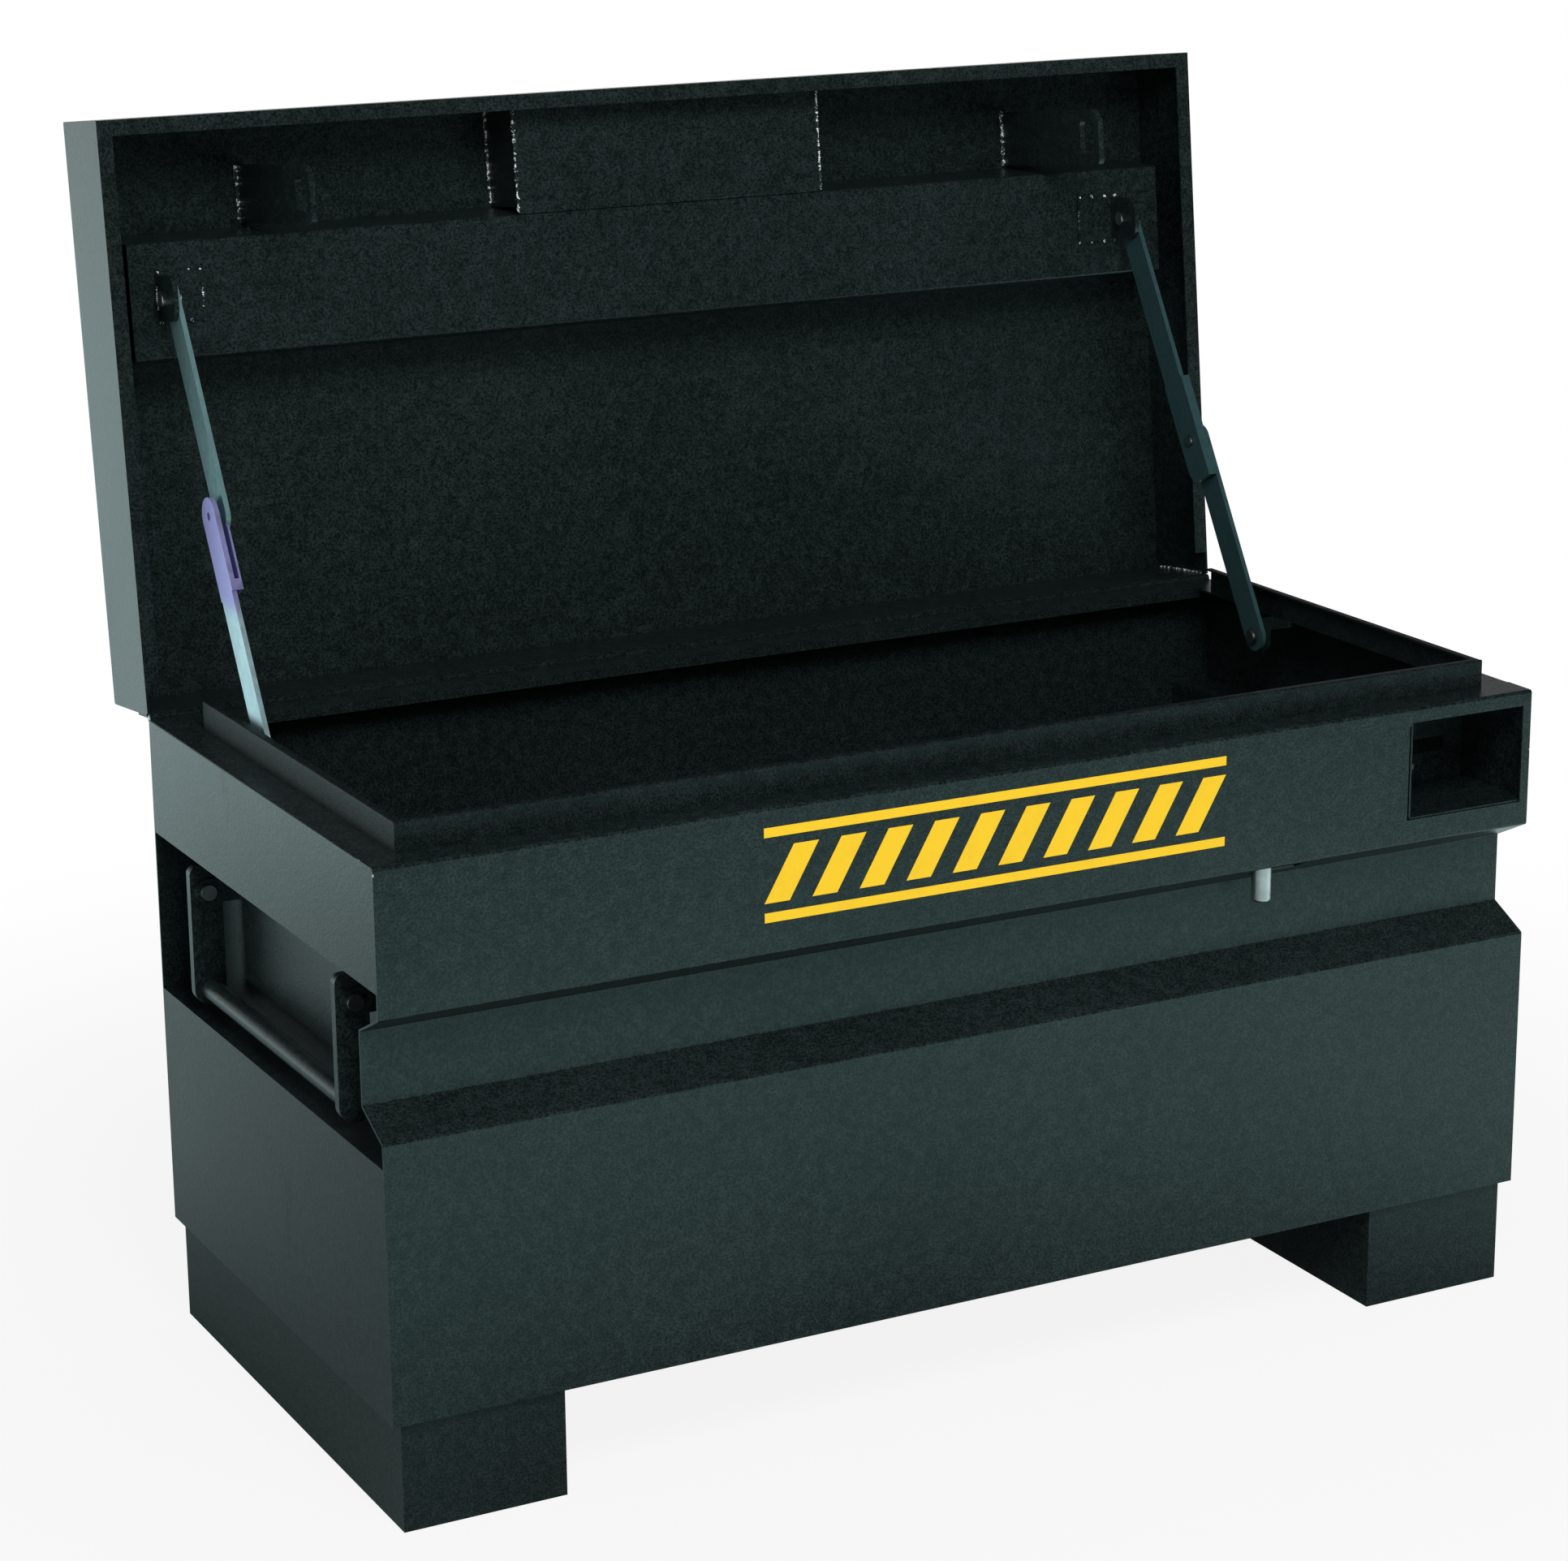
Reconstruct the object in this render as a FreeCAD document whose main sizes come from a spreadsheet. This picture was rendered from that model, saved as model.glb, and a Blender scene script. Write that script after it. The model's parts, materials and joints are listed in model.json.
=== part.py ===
import FreeCAD, Part
import os
import Sketcher
from FreeCAD import Placement, Rotation, Vector

# Steel jobsite storage box, shown with its lid open and resting on its stays.
# Millimetres, +Z up, front toward -Y, origin on the floor under the middle of the open box.

doc = FreeCAD.newDocument("jobsite_storage_box")

# ---------------------------------------------------------------- driving dimensions

SIZES = [
    # body
    ("box_length", 1219.2, "outer length, left to right"),
    ("box_depth", 565.9, "outer depth, front to back"),
    ("skid_height", 105.9, "height of the skids"),
    ("body_height", 512.4, "skids to ledge"),
    ("panel", 2.0, "sheet thickness"),
    ("bend", 3.0, "outside bend radius"),
    ("weld_gap", 0.5, "room between edges joined by a weld bead"),
    # front panel
    ("lower_height", 264.0, "body bottom to the start of the groove"),
    ("groove_height", 112.2, "height of the groove with its slopes"),
    ("groove_slope", 21.9, "vertical run of each slope"),
    ("groove_depth", 44.3, "how far the groove is set back"),
    ("ledge_width", 35.0, "ledge that the lid comes down on"),
    ("rim_height", 27.0, "rim above the ledge"),
    ("hem_width", 8.0, "inward hem on top of the rim"),
    ("rim_setback", 58.0, "side rims stop this far from the back"),
    ("rail_drop", 26.0, "rear rail, height of its web"),
    ("rail_lip", 10.0, "rear rail, height of its front lip"),
    # side recess
    ("recess_rise", 240.9, "body bottom to the recess"),
    ("recess_height", 159.1, "height of the side recess"),
    ("recess_depth", 45.0, "depth of the side recess"),
    # skids
    ("skid_width", 159.0, "width of a skid"),
    ("skid_inset", 10.0, "skid in from the side"),
    ("skid_set_back", 8.0, "skid behind the front"),
    ("skid_flange", 25.0, "flanges under a skid"),
    # padlock pocket
    ("pocket_width", 136.0, "width of the padlock opening"),
    ("pocket_margin", 9.6, "side of the box to the opening"),
    ("pocket_drop", 14.8, "ledge to the top of the opening"),
    ("pocket_corner", 6.0, "corner radius of the opening"),
    ("pocket_depth", 104.0, "front panel to the pocket's back plate"),
    ("pocket_step", 4.0, "pocket side wall beyond the opening's edge"),
    ("slot_rise", 28.6, "pocket floor to the tongue slot"),
    ("slot_height", 14.5, "height of the tongue slot"),
    ("slot_margin", 21.6, "tongue slot to the side panel"),
    # slide lock
    ("lock_travel", 35.0, "travel of the slide"),
    ("bar_width", 30.0, "width of the slide bar"),
    ("bar_thick", 6.0, "thickness of the slide bar"),
    ("bar_back", 62.0, "front of the box to the slide bar"),
    ("bar_drop", 9.9, "pocket floor to the top of the slide bar"),
    ("bar_inset_left", 119.6, "slide bar, left end in from the side"),
    ("bar_inset_right", 109.6, "slide bar, right end in from the side"),
    ("bar_play", 0.5, "play of the slide bar in its guides"),
    ("slide_clear", 1.0, "room beside the sliding pieces"),
    ("guide_thick", 6.0, "thickness of a slide guide"),
    ("guide_rim", 6.0, "metal around the bar in a guide"),
    ("guide_pitch", 250.0, "spacing of the guides"),
    ("guide_shift", 75.0, "middle guide left of the middle"),
    ("pin_diameter", 19.0, "latch pin"),
    ("pin_inset", 306.1, "latch pin in from the right side, unlocked"),
    ("pin_back", 12.2, "latch pin behind the front"),
    ("pin_drop", 36.1, "latch pin tip below the groove's upper bend"),
    ("pin_play", 1.0, "room around the latch pin in its slot"),
    ("arm_width", 32.0, "arm that carries the latch pin"),
    ("bolt_diameter", 19.0, "lock bolts"),
    ("bolt_length", 32.0, "lock bolt beyond its post"),
    ("bolt_clear", 5.0, "lock bolt to hook plate, unlocked"),
    ("post_thick", 8.0, "post of a lock bolt"),
    ("tongue_width", 24.0, "padlock tongue"),
    ("tongue_thick", 8.0, "thickness of the padlock tongue"),
    ("tongue_reach", 26.0, "tongue in front of the pocket's back plate"),
    ("tongue_gap", 6.0, "tongue upright behind the back plate"),
    ("shackle_hole", 12.0, "hole for the padlock's shackle"),
    ("eye_thick", 6.0, "fixed padlock eye"),
    # handles
    ("handle_span", 380.0, "handle, outside of the legs"),
    ("grip_drop", 98.0, "handle pivot to the middle of the grip"),
    ("grip_diameter", 20.0, "round grip between the legs"),
    ("handle_shift", 8.0, "handle behind the middle of the side"),
    ("leg_width", 32.0, "width of a handle leg"),
    ("leg_thick", 9.5, "thickness of a handle leg"),
    ("leg_top", 25.0, "handle leg above its pivot"),
    ("leg_corner", 8.0, "rounded upper corners of a handle leg"),
    ("pivot_drop", 36.9, "recess top to the handle pivot"),
    ("pivot_bolt", 8.0, "handle bolt diameter"),
    ("head_size", 15.0, "bolt head diameter"),
    ("head_thick", 5.0, "bolt head thickness"),
    ("ear_thick", 4.0, "bracket ear thickness"),
    ("ear_width", 24.0, "handle bracket ear height"),
    ("side_play", 0.5, "side clearance of moving straps"),
    ("bore_play", 0.05, "radial clearance of pivots"),
    # hinge
    ("hinge_leaf", 2.5, "hinge leaf thickness"),
    ("leaf_height", 30.0, "hinge leaf height"),
    ("barrel", 8.4, "hinge barrel diameter"),
    ("hinge_pin", 4.0, "hinge pin diameter"),
    ("knuckle", 50.0, "least knuckle length"),
    ("knuckle_gap", 0.5, "gap between knuckles"),
    ("leaf_margin", 1.0, "hinge ends in from the sides"),
    # lid
    ("lid_gap", 0.4, "closed lid above the ledge"),
    ("lid_height", 100.6, "outer height of the lid"),
    ("lid_flange", 13.0, "flange around the lid's mouth"),
    ("flange_end", 26.0, "side flanges stop this far from the back"),
    ("open_angle", 96.06, "lid opening"),
    ("stiff_set_back", 115.9, "stiffener in from the lid's free edge"),
    ("stiff_width", 112.0, "width of the stiffener"),
    ("stiff_face", 29.0, "stiffener face above the lid's mouth"),
    ("stiff_lean", 7.0, "slant of the stiffener's webs"),
    ("stiff_foot", 15.0, "stiffener feet on the lid top"),
    ("stiff_gap", 26.6, "stiffener ends to the lid's sides"),
    ("centre_width", 342.0, "width of the centre box"),
    ("hook_inset", 173.6, "hook plates in from the sides"),
    ("hook_set_back", 105.9, "hook's near edge in from the lid's free edge"),
    ("hook_tip", 96.0, "hook below the lid's mouth"),
    ("hook_width", 57.0, "hook plate, near to far edge"),
    ("hook_thick", 6.0, "hook plate thickness"),
    ("hook_round", 18.0, "rounded far corner of a hook"),
    ("eye_width", 34.0, "width of the hook's eye"),
    ("eye_height", 27.0, "height of the hook's eye"),
    ("eye_edge", 9.5, "hook tip to its eye"),
    ("eye_round", 6.0, "corner radius of the hook's eye"),
    # stays
    ("foot_set", 193.4, "lower stay pivot in front of the back"),
    ("foot_drop", 15.3, "lower stay pivot below the ledge"),
    ("head_shift", 4.0, "upper stay pivot beyond the stiffener's middle"),
    ("head_rise", 5.0, "upper stay pivot above the lid's mouth"),
    ("short_arm", 221.0, "shorter stay arm between pivots"),
    ("arm_wide", 31.8, "stay arm width"),
    ("arm_thick", 4.8, "stay arm thickness"),
    ("right_stay_inset", 83.2, "right stay's inner face in from the side"),
    ("stay_bolt", 8.0, "stay pivot bolt"),
    ("dome_size", 18.0, "domed head of a stay bolt"),
    ("dome_thick", 5.0, "thickness of a domed head"),
    ("stay_gap", 0.3, "gap between the stay's arms"),
    ("channel_wide", 36.0, "width of the stop channel"),
    ("channel_room", 4.5, "left channel, between its plates"),
    ("channel_tab", 11.0, "folded tab at the foot of the left channel"),
    ("channel_left", 80.0, "left channel below the elbow"),
    ("channel_up", 67.0, "right channel above the elbow"),
    ("channel_down", 45.0, "right channel below the elbow"),
    ("ear_stand", 26.0, "stay bracket ear beyond its pivot"),
    ("bracket_wide", 46.0, "stay bracket plate width"),
    ("bracket_tall", 48.0, "stay bracket plate height"),
    ("lid_ear", 44.0, "upper stay bracket ear width"),
    ("foot_ear", 34.0, "lower stay bracket ear width"),
]

size = doc.addObject("Spreadsheet::Sheet", "size")
for row, (alias, value, meaning) in enumerate(SIZES, 1):
    size.set(f"A{row}", meaning)
    size.set(f"B{row}", str(value))
    size.setAlias(f"B{row}", alias)
doc.recompute()

# ---------------------------------------------------------------- places worked out from them

LAYOUT = [
    ("half", "size.box_length / 2"),
    ("wall", "layout.half - size.panel"),
    ("over_lean", "size.open_angle - 90"),
    ("hinge_back", "size.box_depth + size.hinge_leaf"),
    ("front", "-(layout.hinge_back + size.lid_height * cos(layout.over_lean * 1 deg)"
              " + layout.hinge_back * sin(layout.over_lean * 1 deg)) / 2"),
    ("back", "layout.front + size.box_depth"),
    ("top", "size.skid_height + size.body_height"),
    ("hinge_y", "layout.front + layout.hinge_back"),
    ("hinge_z", "layout.top + size.lid_gap"),
    ("groove_low", "size.skid_height + size.lower_height"),
    ("groove_high", "layout.groove_low + size.groove_height"),
    ("bend_shift", "size.panel * tan(atan(size.groove_depth / size.groove_slope) / 2)"),
    ("recess_low", "size.skid_height + size.recess_rise"),
    ("recess_high", "layout.recess_low + size.recess_height"),
    ("recess_x", "layout.half - size.recess_depth"),
    ("rim_x", "layout.half - size.ledge_width"),
    ("rim_y", "layout.front + size.ledge_width"),
    ("rim_top", "layout.top + size.rim_height"),
    ("pocket_right", "layout.half - size.pocket_margin"),
    ("pocket_left", "layout.pocket_right - size.pocket_width"),
    ("pocket_floor", "layout.recess_high + size.panel"),
    ("pocket_back", "layout.front + size.panel + size.pocket_depth"),
    ("pocket_wall", "layout.pocket_left + size.pocket_step"),
    ("bar_top", "layout.pocket_floor - size.panel - size.bar_drop"),
    ("bar_low", "layout.bar_top - size.bar_thick"),
    ("bar_front", "layout.front + size.bar_back"),
    ("stiff_far", "size.box_depth - size.stiff_set_back"),
    ("stiff_near", "layout.stiff_far - size.stiff_width"),
    ("hook_x", "layout.half - size.hook_inset"),
    ("hook_near", "size.box_depth - size.hook_set_back"),
    ("bar_left", "layout.half - size.bar_inset_left"),
    ("bar_right", "layout.half - size.bar_inset_right"),
    ("pin_x", "layout.half - size.pin_inset"),
    ("left_plane", "layout.recess_x - size.panel - size.slide_clear"),
    ("right_plane", "layout.half - size.right_stay_inset"),
    ("eye_u", "layout.hook_near + size.hook_width / 2"),
    ("eye_v", "size.hook_tip - size.eye_edge - size.eye_height / 2"),
    ("bolt_y", "layout.hinge_y - layout.eye_u"),
    ("bolt_z", "layout.hinge_z - layout.eye_v"),
    ("tongue_x", "layout.pocket_wall + size.panel + size.tongue_width / 2 + size.slide_clear"),
    ("tongue_z", "layout.pocket_floor + size.slot_rise + size.slot_height / 2"),
    ("shackle_y", "layout.pocket_back - size.tongue_reach / 2"),
    ("pivot_z", "layout.recess_high - size.pivot_drop"),
    ("handle_mid", "layout.front + size.box_depth / 2 + size.handle_shift"),
    ("foot_y", "layout.back - size.foot_set"),
    ("head_reach", "(layout.stiff_far + layout.stiff_near) / 2 + size.head_shift"),
    ("foot_z", "layout.top - size.foot_drop"),
    ("head_y", "layout.hinge_y + layout.head_reach * sin(layout.over_lean * 1 deg)"
               " + size.head_rise * cos(layout.over_lean * 1 deg)"),
    ("head_z", "layout.hinge_z + layout.head_reach * cos(layout.over_lean * 1 deg)"
               " - size.head_rise * sin(layout.over_lean * 1 deg)"),
    ("stay_run", "layout.head_y - layout.foot_y"),
    ("stay_climb", "layout.head_z - layout.foot_z"),
    ("stay_length", "sqrt(layout.stay_run ^ 2 + layout.stay_climb ^ 2)"),
    ("stay_lean", "atan(layout.stay_run / layout.stay_climb) / 1 deg"),
    ("long_arm", "layout.stay_length - size.short_arm"),
    ("leaf_end", "layout.half - size.leaf_margin"),
    ("pairs", "floor(layout.leaf_end / size.knuckle)"),
    ("pitch", "layout.leaf_end / layout.pairs"),
    ("pivot_x", "layout.half - size.side_play - size.leg_width / 2"),
    ("grip_z", "layout.pivot_z - size.grip_drop"),
    ("lid_inside", "size.lid_height - size.panel"),
]

layout = doc.addObject("App::VarSet", "layout")
for name, formula in LAYOUT:
    layout.addProperty("App::PropertyFloat", name, "places")
    layout.setExpression(name, formula)
doc.recompute()


def value(formula):
    """The present value of a formula on the sheet."""
    return float(getattr(layout.evalExpression(formula), "Value", layout.evalExpression(formula)))


# ---------------------------------------------------------------- ways of making a piece

SOLID_AXIS = {"x": Rotation(Vector(0, 1, 0), 90), "y": Rotation(Vector(1, 0, 0), -90), "z": Rotation()}
sub_parts = []


def piece(name):
    """A sub-part that stays where the box's own frame puts it."""
    body = doc.addObject("PartDesign::Body", name)
    sub_parts.append(body)
    return body


def leaning_piece(name, y, z, lean, x="0"):
    """A sub-part drawn upright about a pivot and tipped back by an angle."""
    body = piece(name)
    body.Placement = Placement(Vector(), Rotation(Vector(1, 0, 0), -1))
    body.setExpression("Placement.Base.x", x)
    body.setExpression("Placement.Base.y", y)
    body.setExpression("Placement.Base.z", z)
    body.setExpression("Placement.Rotation.Angle", f"-({lean})")
    return body


def lid_piece(name):
    """A sub-part of the lid, drawn closed: Y runs from the hinge to the front as -Y, Z from the mouth up."""
    return leaning_piece(name, "layout.hinge_y", "layout.hinge_z", "size.open_angle")


def box(body, x, y, z, kind="Additive"):
    """A block between two formulas along each axis."""
    block = body.newObject(f"PartDesign::{kind}Box", f"{body.Name}_block")
    for length, axis, (low, high) in (("Length", "x", x), ("Width", "y", y), ("Height", "z", z)):
        block.setExpression(length, f"({high}) - ({low})")
        block.setExpression(f"Placement.Base.{axis}", low)
    return block


def rod(body, axis, radius, span, centre, kind="Additive"):
    """A round bar along an axis; centre gives the two other coordinates in x, y, z order."""
    bar = body.newObject(f"PartDesign::{kind}Cylinder", f"{body.Name}_rod")
    bar.Placement = Placement(Vector(), SOLID_AXIS[axis])
    bar.setExpression("Radius", radius)
    bar.setExpression("Height", f"({span[1]}) - ({span[0]})")
    bar.setExpression(f"Placement.Base.{axis}", span[0])
    for other, place in zip([a for a in "xyz" if a != axis], centre):
        bar.setExpression(f"Placement.Base.{other}", place)
    return bar


def cut_box(body, x, y, z):
    return box(body, x, y, z, kind="Subtractive")


def cut_rod(body, axis, radius, span, centre):
    return rod(body, axis, radius, span, centre, kind="Subtractive")


def profile(body, outline, span):
    """A closed outline of (y, z) formulas, padded along X over a span."""
    plane = next(f for f in body.Origin.OriginFeatures if f.Role == "YZ_Plane")
    sketch = body.newObject("Sketcher::SketchObject", f"{body.Name}_outline")
    sketch.AttachmentSupport = [(plane, "")]
    sketch.MapMode = "FlatFace"
    sketch.setExpression("AttachmentOffset.Base.z", span[0])
    corners = [(value(across), value(up)) for across, up in outline]
    for start, end in zip(corners, corners[1:] + corners[:1]):
        sketch.addGeometry(Part.LineSegment(Vector(*start, 0), Vector(*end, 0)))
    count = len(corners)
    for line in range(count):
        sketch.addConstraint(Sketcher.Constraint("Coincident", line, 2, (line + 1) % count, 1))
    for line, (place, formulas) in enumerate(zip(corners, outline)):
        for kind, number, formula in zip(("DistanceX", "DistanceY"), place, formulas):
            index = sketch.addConstraint(Sketcher.Constraint(kind, -1, 1, line, 1, number))
            sketch.setExpression(f"Constraints[{index}]", formula)
    pad = body.newObject("PartDesign::Pad", f"{body.Name}_pad")
    pad.Profile = sketch
    pad.setExpression("Length", f"({span[1]}) - ({span[0]})")
    return pad


def round_edges(body, radius, axis, places):
    """Fillets the edges that run along an axis through the given places."""
    doc.recompute()
    tip = body.Tip
    wanted = [{other: value(formula) for other, formula in place.items()} for place in places]
    names = []
    for number, edge in enumerate(tip.Shape.Edges, 1):
        ends = [vertex.Point for vertex in edge.Vertexes]
        if len(ends) < 2 or abs((ends[1] - ends[0]).normalize().dot(Vector(*[a == axis for a in "xyz"]))) < 0.999:
            continue
        for place in wanted:
            if all(abs(getattr(end, other) - place[other]) < 0.01 for end in ends for other in place):
                names.append(f"Edge{number}")
                break
    fillet = body.newObject("PartDesign::Fillet", f"{body.Name}_round")
    fillet.Base = (tip, names)
    fillet.setExpression("Radius", radius)


def round_rim(body, radius, axis, place):
    """Fillets the outer circular edges that lie across an axis at a place."""
    doc.recompute()
    tip = body.Tip
    here = value(place)
    names = [f"Edge{number}" for number, edge in enumerate(tip.Shape.Edges, 1)
             if isinstance(edge.Curve, Part.Circle) and abs(getattr(edge.Curve.Center, axis) - here) < 0.01]
    fillet = body.newObject("PartDesign::Fillet", f"{body.Name}_round")
    fillet.Base = (tip, names)
    fillet.setExpression("Radius", radius)


def across(side, low, high):
    """A span in X measured outward from the middle, on the left (-1) or the right (+1)."""
    return (low, high) if side > 0 else (f"-({high})", f"-({low})")


SIDES = (("left", -1), ("right", 1))
BEND_IN = "size.bend - size.panel"

# ---------------------------------------------------------------- body shell

# Front panel: one sheet with a groove across it, bent back at the top into the ledge.
GROOVE_OUT = [
    ("layout.front", "layout.groove_low"),
    ("layout.front + size.groove_depth", "layout.groove_low + size.groove_slope"),
    ("layout.front + size.groove_depth", "layout.groove_high - size.groove_slope"),
    ("layout.front", "layout.groove_high"),
]
GROOVE_IN = [
    ("layout.front + size.panel", "layout.groove_high + layout.bend_shift"),
    ("layout.front + size.groove_depth + size.panel",
     "layout.groove_high - size.groove_slope + layout.bend_shift"),
    ("layout.front + size.groove_depth + size.panel",
     "layout.groove_low + size.groove_slope - layout.bend_shift"),
    ("layout.front + size.panel", "layout.groove_low - layout.bend_shift"),
]
front_panel = piece("front_panel")
profile(
    front_panel,
    [("layout.front", "size.skid_height")] + GROOVE_OUT + [
        ("layout.front", "layout.top"),
        ("layout.rim_y + size.panel", "layout.top"),
        ("layout.rim_y + size.panel", "layout.top - size.panel"),
        ("layout.front + size.panel", "layout.top - size.panel"),
    ] + GROOVE_IN + [("layout.front + size.panel", "size.skid_height")],
    ("-layout.half", "layout.half"),
)
corner_out = [GROOVE_OUT[0], GROOVE_OUT[3], GROOVE_IN[1], GROOVE_IN[2], ("layout.front", "layout.top")]
corner_in = [GROOVE_OUT[1], GROOVE_OUT[2], GROOVE_IN[0], GROOVE_IN[3],
             ("layout.front + size.panel", "layout.top - size.panel")]
round_edges(front_panel, "size.bend", "x", [{"y": y, "z": z} for y, z in corner_out])
round_edges(front_panel, BEND_IN, "x", [{"y": y, "z": z} for y, z in corner_in])
cut_box(
    front_panel,
    ("layout.pocket_left", "layout.pocket_right"),
    ("layout.front - 1", "layout.front + size.panel + 1"),
    ("layout.recess_high", "layout.top - size.pocket_drop"),
)
round_edges(front_panel, "size.pocket_corner", "y",
            [{"x": "layout.pocket_left", "z": "layout.top - size.pocket_drop"}])
cut_box(
    front_panel,
    ("layout.pin_x - size.pin_diameter / 2 - size.pin_play",
     "layout.pin_x + size.lock_travel + size.pin_diameter / 2 + size.pin_play"),
    ("layout.front + size.panel", "layout.front + size.pin_back + size.pin_diameter / 2 + size.pin_play"),
    ("layout.groove_high - size.groove_slope", "layout.groove_high + size.panel"),
)

# Back panel: a flat sheet that stops under the hinge barrel.
back_panel = piece("back_panel")
box(back_panel, ("-layout.half", "layout.half"), ("layout.back - size.panel", "layout.back"),
    ("size.skid_height", "layout.hinge_z - size.barrel / 2 - size.side_play"))

# Rear rail: the ledge at the back, bent down behind and at its free edge.
rear_rail = piece("rear_rail")
box(rear_rail, ("-layout.wall", "layout.wall"),
    ("layout.back - size.ledge_width", "layout.back - size.panel"),
    ("layout.top - size.panel", "layout.top"))
box(rear_rail, ("-layout.wall", "layout.wall"),
    ("layout.back - 2 * size.panel", "layout.back - size.panel"),
    ("layout.top - size.rail_drop", "layout.top - size.panel"))
box(rear_rail, ("-layout.rim_x", "layout.rim_x"),
    ("layout.back - size.ledge_width", "layout.back - size.ledge_width + size.panel"),
    ("layout.top - size.rail_lip", "layout.top - size.panel"))

# Floor panel: a flat sheet between the four walls.
floor_panel = piece("floor_panel")
box(floor_panel, ("-layout.wall", "layout.wall"),
    ("layout.front + size.panel", "layout.back - size.panel"),
    ("size.skid_height", "size.skid_height + size.panel"))

for side_name, side in SIDES:
    # Lower side sheet.
    lower_side = piece(f"{side_name}_lower_side")
    box(lower_side, across(side, "layout.wall", "layout.half"),
        ("layout.front + size.panel", "layout.back - size.panel"),
        ("size.skid_height", "layout.recess_low"))

    # Upper side sheet, bent inward at the top into the ledge.
    upper_side = piece(f"{side_name}_upper_side")
    box(upper_side, across(side, "layout.wall", "layout.half"),
        ("layout.front + size.panel", "layout.back - size.panel"),
        ("layout.recess_high", "layout.top - size.panel"))
    box(upper_side, across(side, "layout.wall", "layout.half"),
        ("layout.rim_y + size.panel", "layout.back - size.panel"),
        ("layout.top - size.panel", "layout.top"))
    box(upper_side, across(side, "layout.rim_x - size.panel", "layout.wall"),
        ("layout.rim_y + size.panel", "layout.back - size.ledge_width"),
        ("layout.top - size.panel", "layout.top"))
    cut_box(upper_side, across(side, "layout.wall", "layout.half"),
            ("layout.front + size.panel", "layout.front + size.bend"),
            ("layout.top - size.bend", "layout.top - size.panel"))
    outer_edge = "layout.half" if side > 0 else "-layout.half"
    round_edges(upper_side, "size.bend - 1", "y", [{"x": outer_edge, "z": "layout.top"}])

    # Handle recess: a channel let into the side, its web cut to the back of the grooved front.
    recess = piece(f"{side_name}_handle_recess")
    profile(
        recess,
        [("layout.front + size.panel", "layout.recess_low - size.panel"),
         ("layout.front + size.panel", "layout.groove_low - layout.bend_shift - size.weld_gap"),
         ("layout.front + size.groove_depth + size.panel + size.weld_gap",
          "layout.groove_low + size.groove_slope - layout.bend_shift - size.weld_gap"),
         ("layout.front + size.groove_depth + size.panel + size.weld_gap",
          "layout.groove_high - size.groove_slope + layout.bend_shift + size.weld_gap"),
         ("layout.front + size.panel", "layout.groove_high + layout.bend_shift + size.weld_gap"),
         ("layout.front + size.panel", "layout.recess_high + size.panel"),
         ("layout.back - size.panel", "layout.recess_high + size.panel"),
         ("layout.back - size.panel", "layout.recess_low - size.panel")],
        across(side, "layout.recess_x - size.panel", "layout.recess_x"),
    )
    for low in ("layout.recess_low - size.panel", "layout.recess_high"):
        box(recess, across(side, "layout.recess_x", "layout.wall"),
            ("layout.front + size.panel", "layout.back - size.panel"), (low, f"{low} + size.panel"))

# ---------------------------------------------------------------- rim around the mouth

front_rim = piece("front_rim")
box(front_rim, ("-layout.rim_x", "layout.rim_x"), ("layout.rim_y", "layout.rim_y + size.panel"),
    ("layout.top", "layout.rim_top"))
box(front_rim, ("-(layout.rim_x - size.hem_width)", "layout.rim_x - size.hem_width"),
    ("layout.rim_y + size.panel", "layout.rim_y + size.hem_width"),
    ("layout.rim_top - size.panel", "layout.rim_top"))
round_edges(front_rim, "size.panel * 0.9", "x", [{"y": "layout.rim_y", "z": "layout.rim_top"}])

for side_name, side in SIDES:
    rim = piece(f"{side_name}_rim")
    run = ("layout.rim_y + size.panel", "layout.back - size.rim_setback")
    box(rim, across(side, "layout.rim_x - size.panel", "layout.rim_x"), run, ("layout.top", "layout.rim_top"))
    box(rim, across(side, "layout.rim_x - size.hem_width", "layout.rim_x - size.panel"), run,
        ("layout.rim_top - size.panel", "layout.rim_top"))
    rim_edge = "layout.rim_x" if side > 0 else "-layout.rim_x"
    round_edges(rim, "size.panel * 0.9", "y", [{"x": rim_edge, "z": "layout.rim_top"}])

# ---------------------------------------------------------------- skids

for side_name, side in SIDES:
    outer = "layout.half - size.skid_inset"
    inner = f"{outer} - size.skid_width"
    run = ("layout.front + size.skid_set_back + size.panel", "layout.back - size.panel")
    skid = piece(f"{side_name}_skid")
    box(skid, across(side, inner, outer), run, ("size.skid_height - size.panel", "size.skid_height"))
    box(skid, across(side, f"{outer} - size.panel", outer), run, ("0", "size.skid_height - size.panel"))
    box(skid, across(side, inner, f"{inner} + size.panel"), run, ("0", "size.skid_height - size.panel"))
    box(skid, across(side, f"{outer} - size.skid_flange", f"{outer} - size.panel"), run, ("0", "size.panel"))
    box(skid, across(side, f"{inner} + size.panel", f"{inner} + size.skid_flange"), run, ("0", "size.panel"))
    for end_name, start in (("front", "layout.front + size.skid_set_back"), ("rear", "layout.back - size.panel")):
        cap = piece(f"{side_name}_skid_{end_name}_cap")
        box(cap, across(side, inner, outer), (start, f"{start} + size.panel"), ("0", "size.skid_height"))

# ---------------------------------------------------------------- padlock pocket

pocket_floor = piece("pocket_floor")
box(pocket_floor, ("layout.pocket_wall", "layout.recess_x - size.panel"),
    ("layout.front + size.panel", "layout.pocket_back + size.panel"),
    ("layout.recess_high", "layout.pocket_floor"))

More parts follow.
